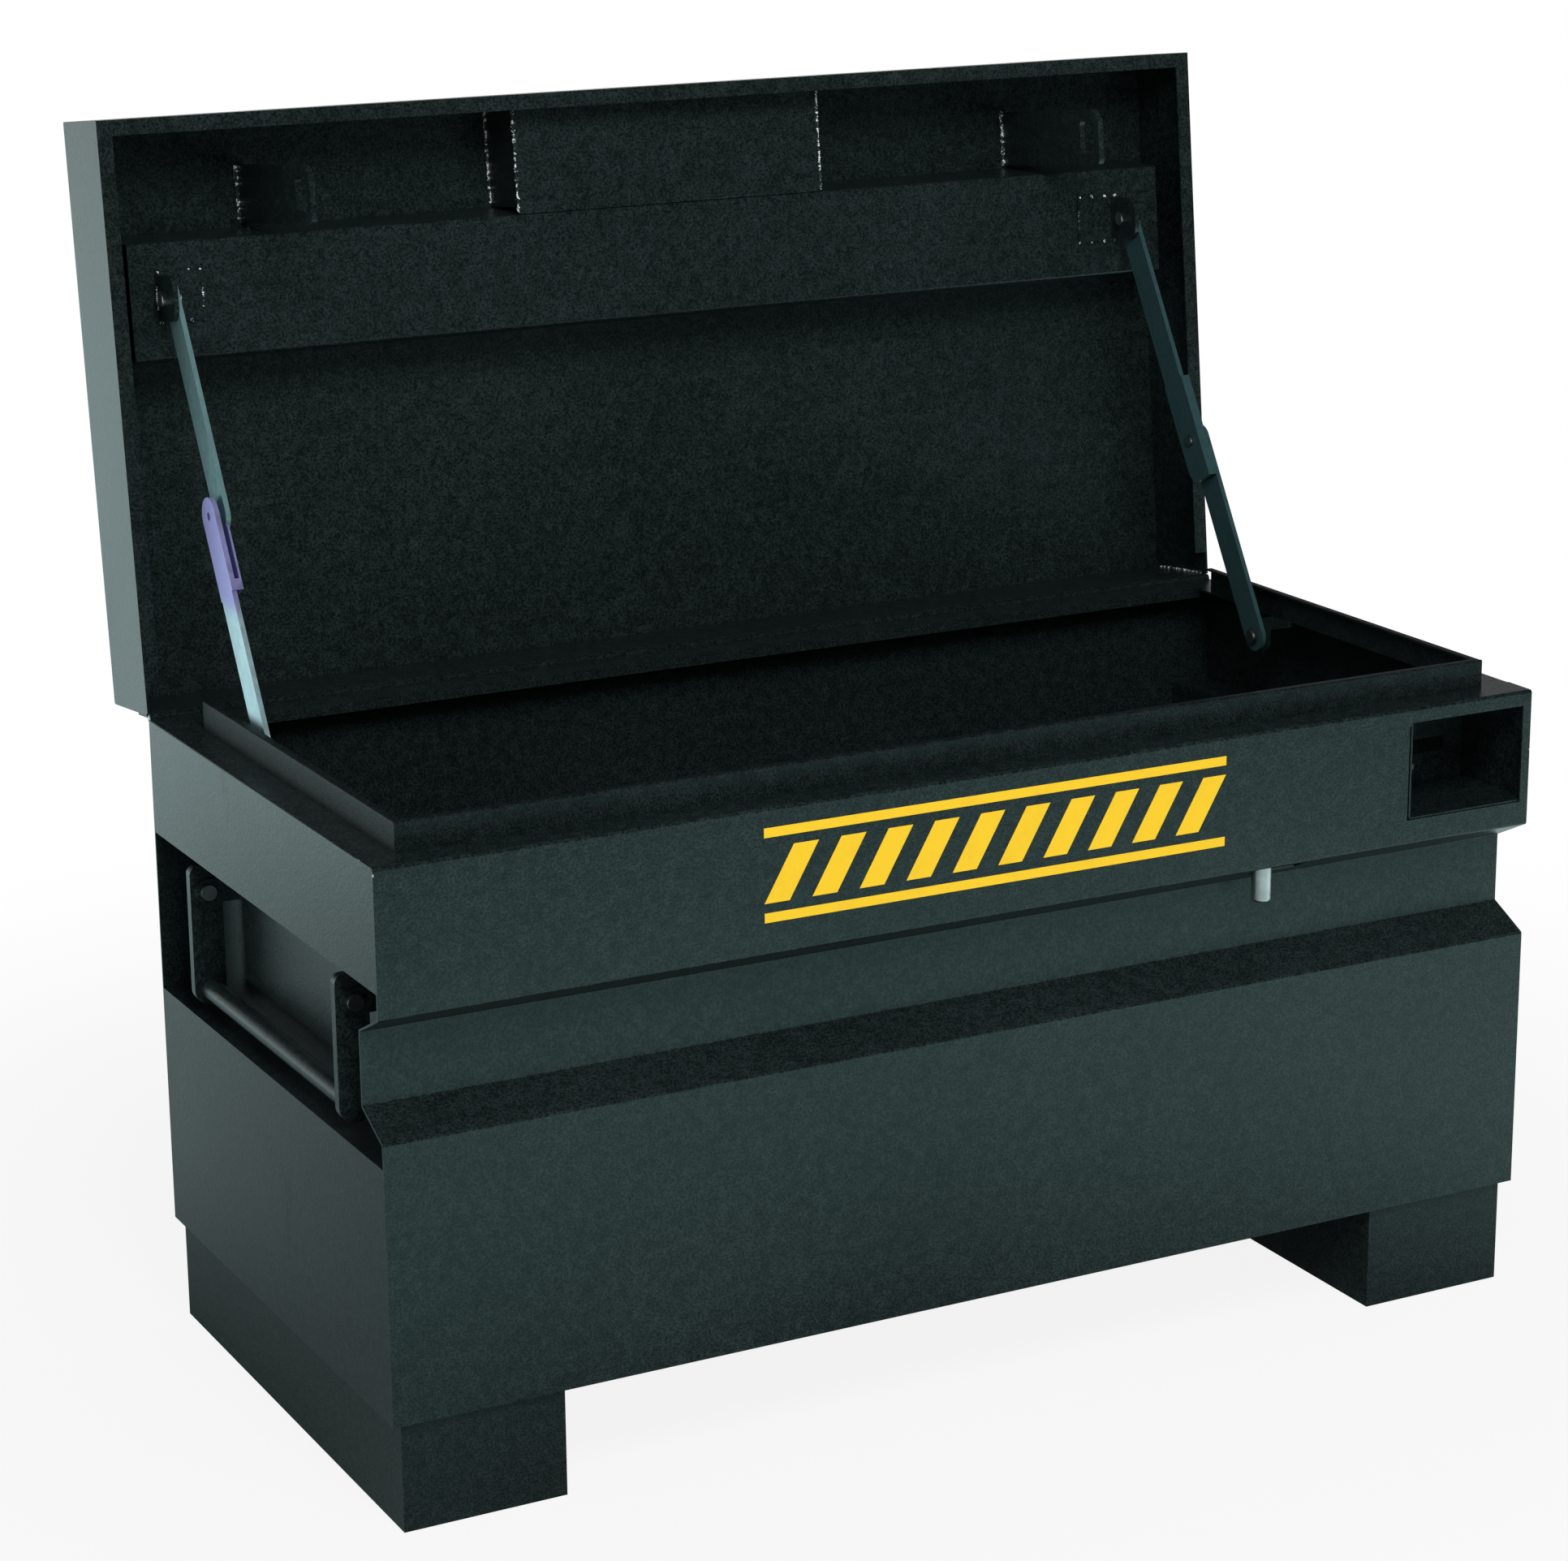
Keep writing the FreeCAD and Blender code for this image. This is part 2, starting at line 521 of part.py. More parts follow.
# Cover: a side wall and the ceiling, bent from one sheet, behind the bend of the front panel.
pocket_cover = piece("pocket_cover")
box(pocket_cover, ("layout.pocket_wall", "layout.pocket_wall + size.panel"),
    ("layout.front + size.bend", "layout.pocket_back"),
    ("layout.pocket_floor", "layout.top - 2 * size.panel"))
box(pocket_cover, ("layout.pocket_wall", "layout.wall"),
    ("layout.front + size.bend", "layout.pocket_back + size.panel"),
    ("layout.top - 2 * size.panel", "layout.top - size.panel"))

# Back plate with the long slot that the padlock tongue slides in.
pocket_back_plate = piece("pocket_back_plate")
box(pocket_back_plate, ("layout.pocket_wall", "layout.wall"),
    ("layout.pocket_back", "layout.pocket_back + size.panel"),
    ("layout.pocket_floor", "layout.top - 2 * size.panel"))
SLOT_LOW = "layout.pocket_floor + size.slot_rise"
SLOT_MID = f"{SLOT_LOW} + size.slot_height / 2"
SLOT_END = "layout.wall - size.slot_margin - size.slot_height / 2"
through = ("layout.pocket_back - 1", "layout.pocket_back + size.panel + 1")
cut_box(pocket_back_plate, ("layout.pocket_wall + size.panel", SLOT_END), through,
        (SLOT_LOW, f"{SLOT_LOW} + size.slot_height"))
cut_rod(pocket_back_plate, "y", "size.slot_height / 2", through, (SLOT_END, SLOT_MID))

# Fixed eye under the slot; the padlock's shackle goes through it and the tongue.
padlock_eye = piece("padlock_eye")
LOCKED_X = "layout.tongue_x + size.lock_travel"
box(padlock_eye, (f"{LOCKED_X} - size.tongue_width / 2", f"{LOCKED_X} + size.tongue_width / 2"),
    ("layout.pocket_back - size.tongue_reach", "layout.pocket_back"),
    (f"{SLOT_LOW} - size.eye_thick - size.panel", f"{SLOT_LOW} - size.panel"))
cut_rod(padlock_eye, "z", "size.shackle_hole / 2", (f"{SLOT_LOW} - size.eye_thick - 3", SLOT_LOW),
        (LOCKED_X, "layout.shackle_y"))

# ---------------------------------------------------------------- slide lock

slide_bar = piece("slide_bar")
box(slide_bar, ("-layout.bar_left", "layout.bar_right"), ("layout.bar_front", "layout.bar_front + size.bar_width"),
    ("layout.bar_low", "layout.bar_top"))

# Guides: plates welded to the back of the front panel, the bar runs through them.
slide_guides = piece("slide_guides")
for number in range(3):
    middle = f"size.guide_pitch * {number - 1} - size.guide_shift"
    box(slide_guides, (f"{middle} - size.guide_thick / 2", f"{middle} + size.guide_thick / 2"),
        ("layout.front + size.panel", "layout.bar_front + size.bar_width + size.guide_rim"),
        ("layout.bar_low - size.guide_rim", "layout.bar_top + size.guide_rim"))
cut_box(slide_guides, ("-layout.bar_left", "layout.bar_right"),
        ("layout.bar_front - size.bar_play", "layout.bar_front + size.bar_width + size.bar_play"),
        ("layout.bar_low - size.bar_play", "layout.bar_top + size.bar_play"))

# Latch pin, hanging through its slot in the groove's upper slope, and the arm it hangs from.
pin_arm = piece("pin_arm")
box(pin_arm, ("layout.pin_x - size.arm_width / 2", "layout.pin_x + size.arm_width / 2"),
    ("layout.front + size.panel + size.slide_clear", "layout.bar_front"), ("layout.bar_low", "layout.bar_top"))
cut_rod(pin_arm, "z", "size.pin_diameter / 2 - 3", ("layout.bar_low - 1", "layout.bar_top + 1"),
        ("layout.pin_x", "layout.front + size.pin_back"))

latch_pin = piece("latch_pin")
rod(latch_pin, "z", "size.pin_diameter / 2",
    ("layout.groove_high - size.pin_drop", "layout.bar_low"), ("layout.pin_x", "layout.front + size.pin_back"))
rod(latch_pin, "z", "size.pin_diameter / 2 - 3",
    ("layout.bar_low", "layout.bar_top"), ("layout.pin_x", "layout.front + size.pin_back"))
round_rim(latch_pin, "size.pin_diameter / 5", "z", "layout.groove_high - size.pin_drop")

# Lock bolts: a post on the slide bar beside each hook, with a round bolt that enters the hook's eye.
lock_bolts = piece("lock_bolts")
for side in (-1, 1):
    tip = f"layout.hook_x * {side} - size.hook_thick / 2 - size.bolt_clear"
    post = f"{tip} - size.bolt_length"
    box(lock_bolts, (f"{post} - size.post_thick", post),
        ("layout.bar_front", "layout.bar_front + size.bar_width"),
        ("layout.bar_top", "layout.bolt_z + size.bolt_diameter / 2 + 3"))
    rod(lock_bolts, "x", "size.bolt_diameter / 2", (post, tip), ("layout.bolt_y", "layout.bolt_z"))
    round_rim(lock_bolts, "size.bolt_diameter / 5", "x", tip)

# Padlock tongue: from the slide bar back under the pocket, up behind it and forward through the slot.
lock_tongue = piece("lock_tongue")
UPRIGHT = "layout.pocket_back + size.panel + size.tongue_gap"
tongue_x = ("layout.tongue_x - size.tongue_width / 2", "layout.tongue_x + size.tongue_width / 2")
box(lock_tongue, tongue_x, ("layout.bar_front + size.bar_width", f"{UPRIGHT} + size.tongue_thick"),
    ("layout.bar_low", "layout.bar_top"))
box(lock_tongue, tongue_x, (UPRIGHT, f"{UPRIGHT} + size.tongue_thick"),
    ("layout.bar_top", "layout.tongue_z + size.tongue_thick / 2"))
box(lock_tongue, tongue_x, ("layout.pocket_back - size.tongue_reach", UPRIGHT),
    ("layout.tongue_z - size.tongue_thick / 2", "layout.tongue_z + size.tongue_thick / 2"))
cut_rod(lock_tongue, "z", "size.shackle_hole / 2",
        ("layout.tongue_z - size.tongue_thick", "layout.tongue_z + size.tongue_thick"),
        ("layout.tongue_x", "layout.shackle_y"))

# ---------------------------------------------------------------- handles

LEGS = (
    ("layout.handle_mid - size.handle_span / 2", "layout.handle_mid - size.handle_span / 2 + size.leg_thick"),
    ("layout.handle_mid + size.handle_span / 2 - size.leg_thick", "layout.handle_mid + size.handle_span / 2"),
)
# Brackets: a pair of ears for each leg, welded to the back of the recess.
brackets = piece("handle_brackets")
# Bolts: through both ears and the leg, a head in front and a nut behind.
bolts = piece("handle_bolts")
for side_name, side in SIDES:
    pivot_x = f"layout.pivot_x * {side}"
    centre = (pivot_x, "layout.pivot_z")

    # Handle: two flat legs, round at the foot, with a round grip welded between them.
    legs = piece(f"{side_name}_handle_legs")
    leg_x = across(side, "layout.pivot_x - size.leg_width / 2", "layout.pivot_x + size.leg_width / 2")
    leg_end = "layout.pivot_z + size.leg_top"
    for leg in LEGS:
        box(legs, leg_x, leg, ("layout.grip_z", leg_end))
    round_edges(legs, "size.leg_corner", "y", [{"x": x, "z": leg_end} for x in leg_x])
    for leg in LEGS:
        rod(legs, "y", "size.leg_width / 2", leg, (pivot_x, "layout.grip_z"))
        cut_rod(legs, "y", "size.pivot_bolt / 2 + size.bore_play",
                (f"{leg[0]} - 1", f"{leg[1]} + 1"), centre)

    grip = piece(f"{side_name}_handle_grip")
    rod(grip, "y", "size.grip_diameter / 2", (LEGS[0][1], LEGS[1][0]), (pivot_x, "layout.grip_z"))

    for low, high in LEGS:
        ears = ((f"{low} - size.side_play - size.ear_thick", f"{low} - size.side_play"),
                (f"{high} + size.side_play", f"{high} + size.side_play + size.ear_thick"))
        for ear in ears:
            box(brackets, across(side, "layout.recess_x", "layout.pivot_x"), ear,
                ("layout.pivot_z - size.ear_width / 2", "layout.pivot_z + size.ear_width / 2"))
            rod(brackets, "y", "size.ear_width / 2", ear, centre)
        cut_rod(brackets, "y", "size.pivot_bolt / 2", (ears[0][0], ears[1][1]), centre)
        rod(bolts, "y", "size.pivot_bolt / 2", (ears[0][0], ears[1][1]), centre)
        for head in ((f"{ears[0][0]} - size.head_thick", ears[0][0]),
                     (ears[1][1], f"{ears[1][1]} + size.head_thick")):
            rod(bolts, "y", "size.head_size / 2", head, centre)

# ---------------------------------------------------------------- hinge

BARREL_CLEAR = "size.barrel / 2 + size.side_play"


def knuckles(body, first, y, z, leaf_y, leaf_z):
    """Every second knuckle of a leaf, each a neck with a barrel at its end."""
    for number in range(round(value("layout.pairs"))):
        start = f"{first} + {2 * number} * layout.pitch"
        run = (f"{start} + size.knuckle_gap / 2", f"{start} + layout.pitch - size.knuckle_gap / 2")
        box(body, run, leaf_y, leaf_z)
        rod(body, "x", "size.barrel / 2", run, (y, z))


hinge_body_leaf = piece("hinge_body_leaf")
box(hinge_body_leaf, ("-layout.leaf_end", "layout.leaf_end"), ("layout.back", "layout.hinge_y"),
    ("layout.hinge_z - size.leaf_height", f"layout.hinge_z - ({BARREL_CLEAR})"))
knuckles(hinge_body_leaf, "-layout.leaf_end", "layout.hinge_y", "layout.hinge_z",
         ("layout.back", "layout.hinge_y"), (f"layout.hinge_z - ({BARREL_CLEAR})", "layout.hinge_z"))
cut_rod(hinge_body_leaf, "x", "size.hinge_pin / 2", ("-layout.half", "layout.half"),
        ("layout.hinge_y", "layout.hinge_z"))

hinge_lid_leaf = lid_piece("hinge_lid_leaf")
box(hinge_lid_leaf, ("-layout.leaf_end", "layout.leaf_end"), ("-size.hinge_leaf", "0"),
    (BARREL_CLEAR, "size.leaf_height"))
knuckles(hinge_lid_leaf, "-layout.leaf_end + layout.pitch", "0", "0",
         ("-size.hinge_leaf", "0"), ("0", BARREL_CLEAR))
cut_rod(hinge_lid_leaf, "x", "size.hinge_pin / 2 + size.bore_play", ("-layout.half", "layout.half"), ("0", "0"))

hinge_pin = piece("hinge_pin")
rod(hinge_pin, "x", "size.hinge_pin / 2", ("-layout.leaf_end", "layout.leaf_end"),
    ("layout.hinge_y", "layout.hinge_z"))

# ---------------------------------------------------------------- lid

lid_top = lid_piece("lid_top")
box(lid_top, ("-layout.half", "layout.half"), ("-layout.hinge_back", "-size.hinge_leaf"),
    ("layout.lid_inside", "size.lid_height"))
round_edges(lid_top, "size.panel * 0.9", "x",
            [{"y": "-layout.hinge_back", "z": "size.lid_height"}, {"y": "-size.hinge_leaf", "z": "size.lid_height"}])
round_edges(lid_top, "size.panel * 0.7", "y",
            [{"x": "-layout.half", "z": "size.lid_height"}, {"x": "layout.half", "z": "size.lid_height"}])

lid_front_wall = lid_piece("lid_front_wall")
box(lid_front_wall, ("-layout.half", "layout.half"), ("-layout.hinge_back", "-layout.hinge_back + size.panel"),
    ("0", "layout.lid_inside"))
box(lid_front_wall, ("-layout.wall", "layout.wall"),
    ("-layout.hinge_back + size.panel", "-layout.hinge_back + size.panel + size.lid_flange"), ("0", "size.panel"))

lid_rear_wall = lid_piece("lid_rear_wall")
box(lid_rear_wall, ("-layout.wall", "layout.wall"), ("-size.hinge_leaf - size.panel", "-size.hinge_leaf"),
    (BARREL_CLEAR, "layout.lid_inside"))

for side_name, side in SIDES:
    lid_side = lid_piece(f"lid_{side_name}_wall")
    box(lid_side, across(side, "layout.wall", "layout.half"),
        ("-layout.hinge_back + size.panel", "-size.hinge_leaf"), ("0", "layout.lid_inside"))
    box(lid_side, across(side, "layout.wall - size.lid_flange", "layout.wall"),
        ("-layout.hinge_back + size.panel + size.lid_flange", "-size.hinge_leaf - size.flange_end"),
        ("0", "size.panel"))
    cut_rod(lid_side, "x", BARREL_CLEAR, across(side, "layout.wall - 1", "layout.half + 1"), ("0", "0"))

# Stiffener: a hat channel across the lid, its slanted webs welded to the lid top.
lid_stiffener = lid_piece("lid_stiffener")
HAT_FAR = ("-layout.stiff_far", "size.stiff_face")
HAT_NEAR = ("-layout.stiff_near", "size.stiff_face")
HAT_FAR_IN = ("-layout.stiff_far + size.panel", "size.stiff_face + size.panel")
HAT_NEAR_IN = ("-layout.stiff_near - size.panel", "size.stiff_face + size.panel")
profile(
    lid_stiffener,
    [HAT_FAR, HAT_NEAR,
     ("-layout.stiff_near + size.stiff_lean", "layout.lid_inside - size.panel"),
     ("-layout.stiff_near + size.stiff_lean + size.stiff_foot", "layout.lid_inside - size.panel"),
     ("-layout.stiff_near + size.stiff_lean + size.stiff_foot", "layout.lid_inside"),
     ("-layout.stiff_near + size.stiff_lean - size.panel", "layout.lid_inside"),
     HAT_NEAR_IN, HAT_FAR_IN,
     ("-layout.stiff_far - size.stiff_lean + size.panel", "layout.lid_inside"),
     ("-layout.stiff_far - size.stiff_lean", "layout.lid_inside")],
    ("-layout.wall + size.stiff_gap", "layout.wall - size.stiff_gap"),
)
round_edges(lid_stiffener, "size.bend", "x", [{"y": y, "z": z} for y, z in (HAT_FAR, HAT_NEAR)])
round_edges(lid_stiffener, BEND_IN, "x", [{"y": y, "z": z} for y, z in (HAT_FAR_IN, HAT_NEAR_IN)])

# Centre box: a welded cover in front of the stiffener.
centre_box = lid_piece("lid_centre_box")
FRONT_INSIDE = "-layout.hinge_back + size.panel"
box(centre_box, ("-size.centre_width / 2", "size.centre_width / 2"),
    (FRONT_INSIDE, "-layout.stiff_far - size.weld_gap"), ("size.stiff_face", "size.stiff_face + size.panel"))
for side in (-1, 1):
    box(centre_box, across(side, "size.centre_width / 2 - size.panel", "size.centre_width / 2"),
        (FRONT_INSIDE, "-layout.stiff_far - size.stiff_lean - size.weld_gap"),
        ("size.stiff_face + size.panel", "layout.lid_inside"))

# Hook plates: they hang from the lid top into the box, where the lock bolts go through their eyes.
for side_name, side in SIDES:
    hook = lid_piece(f"{side_name}_hook_plate")
    thick = across(side, "layout.hook_x - size.hook_thick / 2", "layout.hook_x + size.hook_thick / 2")
    far = "-layout.hook_near - size.hook_width"
    box(hook, thick, (far, "-layout.hook_near"), ("-size.hook_tip", "layout.lid_inside"))
    round_edges(hook, "size.hook_round", "x", [{"y": far, "z": "-size.hook_tip"}])
    round_edges(hook, "size.eye_round", "x", [{"y": "-layout.hook_near", "z": "-size.hook_tip"}])
    eye_y = ("-layout.eye_u - size.eye_width / 2", "-layout.eye_u + size.eye_width / 2")
    eye_z = ("-layout.eye_v - size.eye_height / 2", "-layout.eye_v + size.eye_height / 2")
    cut_box(hook, (f"{thick[0]} - 1", f"{thick[1]} + 1"), eye_y, eye_z)
    round_edges(hook, "size.eye_round", "x", [{"y": y, "z": z} for y in eye_y for z in eye_z])

# ---------------------------------------------------------------- stays

# Planes in X, as the inner and outer faces of each strap.
LEFT_LOWER = ("-layout.left_plane", "-layout.left_plane + size.arm_thick")
FAR_PLATE = (f"{LEFT_LOWER[1]} + size.channel_room", f"{LEFT_LOWER[1]} + size.channel_room + size.panel")
LEFT_UPPER = (f"{FAR_PLATE[1]} + size.stay_gap", f"{FAR_PLATE[1]} + size.stay_gap + size.arm_thick")
RIGHT_UPPER = ("layout.right_plane", "layout.right_plane + size.arm_thick")
CHANNEL_EDGE = f"{RIGHT_UPPER[1]} + size.arm_thick + size.stay_gap"
RIGHT_LOWER = (f"{CHANNEL_EDGE} + size.stay_gap", f"{CHANNEL_EDGE} + size.stay_gap + size.arm_thick")
STRAP = ("-size.arm_wide / 2", "size.arm_wide / 2")
CHANNEL = ("-size.channel_wide / 2", "size.channel_wide / 2")


def strap(body, plane, low, high):
    """A flat bar with round ends along local Z."""
    box(body, plane, STRAP, (low, high))
    for end in (low, high):
        rod(body, "x", "size.arm_wide / 2", plane, ("0", end))


def bore(body, plane, at, radius="size.stay_bolt / 2"):
    cut_rod(body, "x", radius, (f"{plane[0]} - 1", f"{plane[1]} + 1"), ("0", at))


def foot_piece(name):
    return leaning_piece(name, "layout.foot_y", "layout.foot_z", "layout.stay_lean")


def head_piece(name):
    return leaning_piece(name, "layout.head_y", "layout.head_z", "layout.stay_lean")


RUNNING = "size.stay_bolt / 2 + size.bore_play"

# Left stay: the top of the lower arm is a channel, a far plate joined to it by a folded tab in front.
left_lower = foot_piece("left_stay_lower_arm")
CHANNEL_FOOT = "layout.long_arm - size.channel_left"
strap(left_lower, LEFT_LOWER, "0", "layout.long_arm")
box(left_lower, LEFT_LOWER, CHANNEL, (CHANNEL_FOOT, "layout.long_arm"))
rod(left_lower, "x", "size.channel_wide / 2", LEFT_LOWER, ("0", "layout.long_arm"))
box(left_lower, FAR_PLATE, CHANNEL, (CHANNEL_FOOT, "layout.long_arm - size.arm_wide / 2"))
box(left_lower, (LEFT_LOWER[1], FAR_PLATE[0]),
    ("-size.channel_wide / 2", "-size.channel_wide / 2 + size.panel"),
    (CHANNEL_FOOT, f"{CHANNEL_FOOT} + size.channel_tab"))
bore(left_lower, LEFT_LOWER, "0", RUNNING)
bore(left_lower, LEFT_LOWER, "layout.long_arm")

left_upper = head_piece("left_stay_upper_arm")
strap(left_upper, LEFT_UPPER, "-size.short_arm", "0")
bore(left_upper, LEFT_UPPER, "0", RUNNING)
bore(left_upper, LEFT_UPPER, "-size.short_arm")

# Right stay: the same parts the other way up, the channel on the upper arm with its web in front.
right_lower = foot_piece("right_stay_lower_arm")
strap(right_lower, RIGHT_LOWER, "0", "size.short_arm")
bore(right_lower, RIGHT_LOWER, "0", RUNNING)
bore(right_lower, RIGHT_LOWER, "size.short_arm")

right_upper = head_piece("right_stay_upper_arm")
CHANNEL_Z = ("-layout.long_arm - size.channel_down", "-layout.long_arm + size.channel_up")
strap(right_upper, RIGHT_UPPER, "-layout.long_arm", "0")
box(right_upper, RIGHT_UPPER, CHANNEL, CHANNEL_Z)
round_edges(right_upper, "size.channel_wide / 2 - 1", "x", [{"y": CHANNEL[1], "z": CHANNEL_Z[0]}])
box(right_upper, (RIGHT_UPPER[1], CHANNEL_EDGE),
    ("-size.channel_wide / 2", "-size.channel_wide / 2 + size.panel"), CHANNEL_Z)
bore(right_upper, RIGHT_UPPER, "0", RUNNING)
bore(right_upper, RIGHT_UPPER, "-layout.long_arm")

# Elbow rivets: each stays in the arm that carries the channel.
left_rivet = foot_piece("left_elbow_rivet")
rod(left_rivet, "x", "size.stay_bolt / 2", (f"{LEFT_LOWER[1]} - size.panel", FAR_PLATE[1]),
    ("0", "layout.long_arm"))
right_rivet = head_piece("right_elbow_rivet")
rod(right_rivet, "x", "size.stay_bolt / 2", (RIGHT_UPPER[0], CHANNEL_EDGE), ("0", "-layout.long_arm"))
rod(right_rivet, "x", "size.stay_bolt * 0.8", (f"{RIGHT_UPPER[0]} - size.panel", RIGHT_UPPER[0]),
    ("0", "-layout.long_arm"))
round_rim(right_rivet, "size.panel * 0.8", "x", f"{RIGHT_UPPER[0]} - size.panel")

# Brackets and bolts: the ear beside each pivot, its plate on the lid's stiffener or under the ledge.
LEFT_LID_EAR = (f"{LEFT_UPPER[0]} - size.stay_gap - size.arm_thick", f"{LEFT_UPPER[0]} - size.stay_gap")
RIGHT_LID_EAR = (f"{RIGHT_UPPER[0]} - size.stay_gap - size.arm_thick", f"{RIGHT_UPPER[0]} - size.stay_gap")
LEFT_BODY_EAR = (f"{LEFT_LOWER[0]} - size.stay_gap - size.arm_thick", f"{LEFT_LOWER[0]} - size.stay_gap")
RIGHT_BODY_EAR = (f"{RIGHT_LOWER[1]} + size.stay_gap", f"{RIGHT_LOWER[1]} + size.stay_gap + size.arm_thick")
PLATE_Z = ("size.stiff_face - size.panel", "size.stiff_face")
PLATE_Y = ("-layout.head_reach - size.bracket_tall / 2", "-layout.head_reach + size.bracket_tall / 2")
EAR_LOW = "size.head_rise - size.ear_stand"
for side_name, ear, plate in (
    ("left", LEFT_LID_EAR, (LEFT_LID_EAR[0], f"{LEFT_LID_EAR[0]} + size.bracket_wide")),
    ("right", RIGHT_LID_EAR, (f"{RIGHT_LID_EAR[1]} - size.bracket_wide", RIGHT_LID_EAR[1])),
):
    bracket = lid_piece(f"{side_name}_stay_lid_bracket")
    ear_y = ("-layout.head_reach - size.lid_ear / 2", "-layout.head_reach + size.lid_ear / 2")
    box(bracket, ear, ear_y, (EAR_LOW, PLATE_Z[0]))
    round_edges(bracket, "size.lid_ear / 3", "x", [{"y": y, "z": EAR_LOW} for y in ear_y])
    box(bracket, plate, PLATE_Y, PLATE_Z)
    cut_rod(bracket, "x", "size.stay_bolt / 2", (f"{ear[0]} - 1", f"{ear[1]} + 1"),
            ("-layout.head_reach", "size.head_rise"))

for side_name, side, ear in (("left", -1, LEFT_BODY_EAR), ("right", 1, RIGHT_BODY_EAR)):
    bracket = piece(f"{side_name}_stay_body_bracket")
    ear_y = ("layout.foot_y - size.foot_ear / 2", "layout.foot_y + size.foot_ear / 2")
    ear_z = "layout.foot_z - size.foot_ear / 2"
    under = "layout.top - size.panel"
    box(bracket, ear, ear_y, (ear_z, under))
    round_edges(bracket, "size.foot_ear / 3", "x", [{"y": y, "z": ear_z} for y in ear_y])
    flange = (ear[1], "layout.wall") if side > 0 else ("-layout.wall", ear[0])
    box(bracket, flange, ear_y, (f"{under} - size.arm_thick", under))
    cut_rod(bracket, "x", "size.stay_bolt / 2", (f"{ear[0]} - 1", f"{ear[1]} + 1"),
            ("layout.foot_y", "layout.foot_z"))


def pivot_bolt(body, run, dome, centre):
    """A shank through the ear and the strap; a domed head on the end numbered dome, a nut on the other."""
    rod(body, "x", "size.stay_bolt / 2", run, centre)
    for end, out in ((0, "-"), (1, "+")):
        name, rounding = ("dome", 0.8) if end == dome else ("head", 0.3)
        tip = f"{run[end]} {out} size.{name}_thick"
        rod(body, "x", f"size.{name}_size / 2", (run[end], tip) if end else (tip, run[end]), centre)
        round_rim(body, f"size.{name}_thick * {rounding}", "x", tip)


lid_bolts = lid_piece("stay_lid_bolts")
for run in ((LEFT_LID_EAR[0], f"{LEFT_UPPER[1]} + size.stay_gap"),
            (RIGHT_LID_EAR[0], f"{RIGHT_UPPER[1]} + size.stay_gap")):
    pivot_bolt(lid_bolts, run, 1, ("-layout.head_reach", "size.head_rise"))
body_bolts = piece("stay_body_bolts")
for run, dome in (((LEFT_BODY_EAR[0], f"{LEFT_LOWER[1]} + size.stay_gap"), 1),
                  ((f"{RIGHT_LOWER[0]} - size.stay_gap", RIGHT_BODY_EAR[1]), 0)):
    pivot_bolt(body_bolts, run, dome, ("layout.foot_y", "layout.foot_z"))

# ---------------------------------------------------------------- check and write

doc.recompute()
for item in doc.Objects:
    if any(state in ("Invalid", "Error") for state in item.State):
        raise RuntimeError(f"{item.Name} failed: {item.State}")
for part in sub_parts:
    if part.Shape.isNull() or not part.Shape.isValid():
        raise RuntimeError(f"{part.Label} has no valid shape")

os.makedirs("parts", exist_ok=True)
for part in sub_parts:
    part.Shape.exportStep(f"parts/{part.Label}.step")
print(len(sub_parts), "sub-parts written")
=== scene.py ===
import json
import math
import random

import bmesh
import bpy
from mathutils import Matrix, Quaternion, Vector


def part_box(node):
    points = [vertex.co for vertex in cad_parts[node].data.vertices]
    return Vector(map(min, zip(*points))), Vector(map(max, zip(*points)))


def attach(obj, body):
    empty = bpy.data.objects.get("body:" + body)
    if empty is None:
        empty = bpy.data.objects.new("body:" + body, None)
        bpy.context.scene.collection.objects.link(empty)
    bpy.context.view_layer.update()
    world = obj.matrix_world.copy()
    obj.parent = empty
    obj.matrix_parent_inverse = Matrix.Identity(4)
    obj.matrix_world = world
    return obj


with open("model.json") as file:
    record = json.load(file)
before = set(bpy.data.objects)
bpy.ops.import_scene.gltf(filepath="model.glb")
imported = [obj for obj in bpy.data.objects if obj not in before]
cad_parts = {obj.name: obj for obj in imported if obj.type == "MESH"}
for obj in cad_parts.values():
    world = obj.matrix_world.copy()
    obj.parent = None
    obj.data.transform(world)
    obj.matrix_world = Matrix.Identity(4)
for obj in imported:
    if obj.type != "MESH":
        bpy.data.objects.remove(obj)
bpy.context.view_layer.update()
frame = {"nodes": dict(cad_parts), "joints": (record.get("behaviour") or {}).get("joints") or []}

# ---------------------------------------------------------------- shell of the box
# The box is folded from 2 mm sheet steel and welded: a front with a groove across it, flat back and floor,
# two sheets on each side with the handle recess between them, and a duller raised rim round the mouth. It
# is powder coated in one charcoal colour, which dries to a fine pebbled skin with soft cloudy patches.


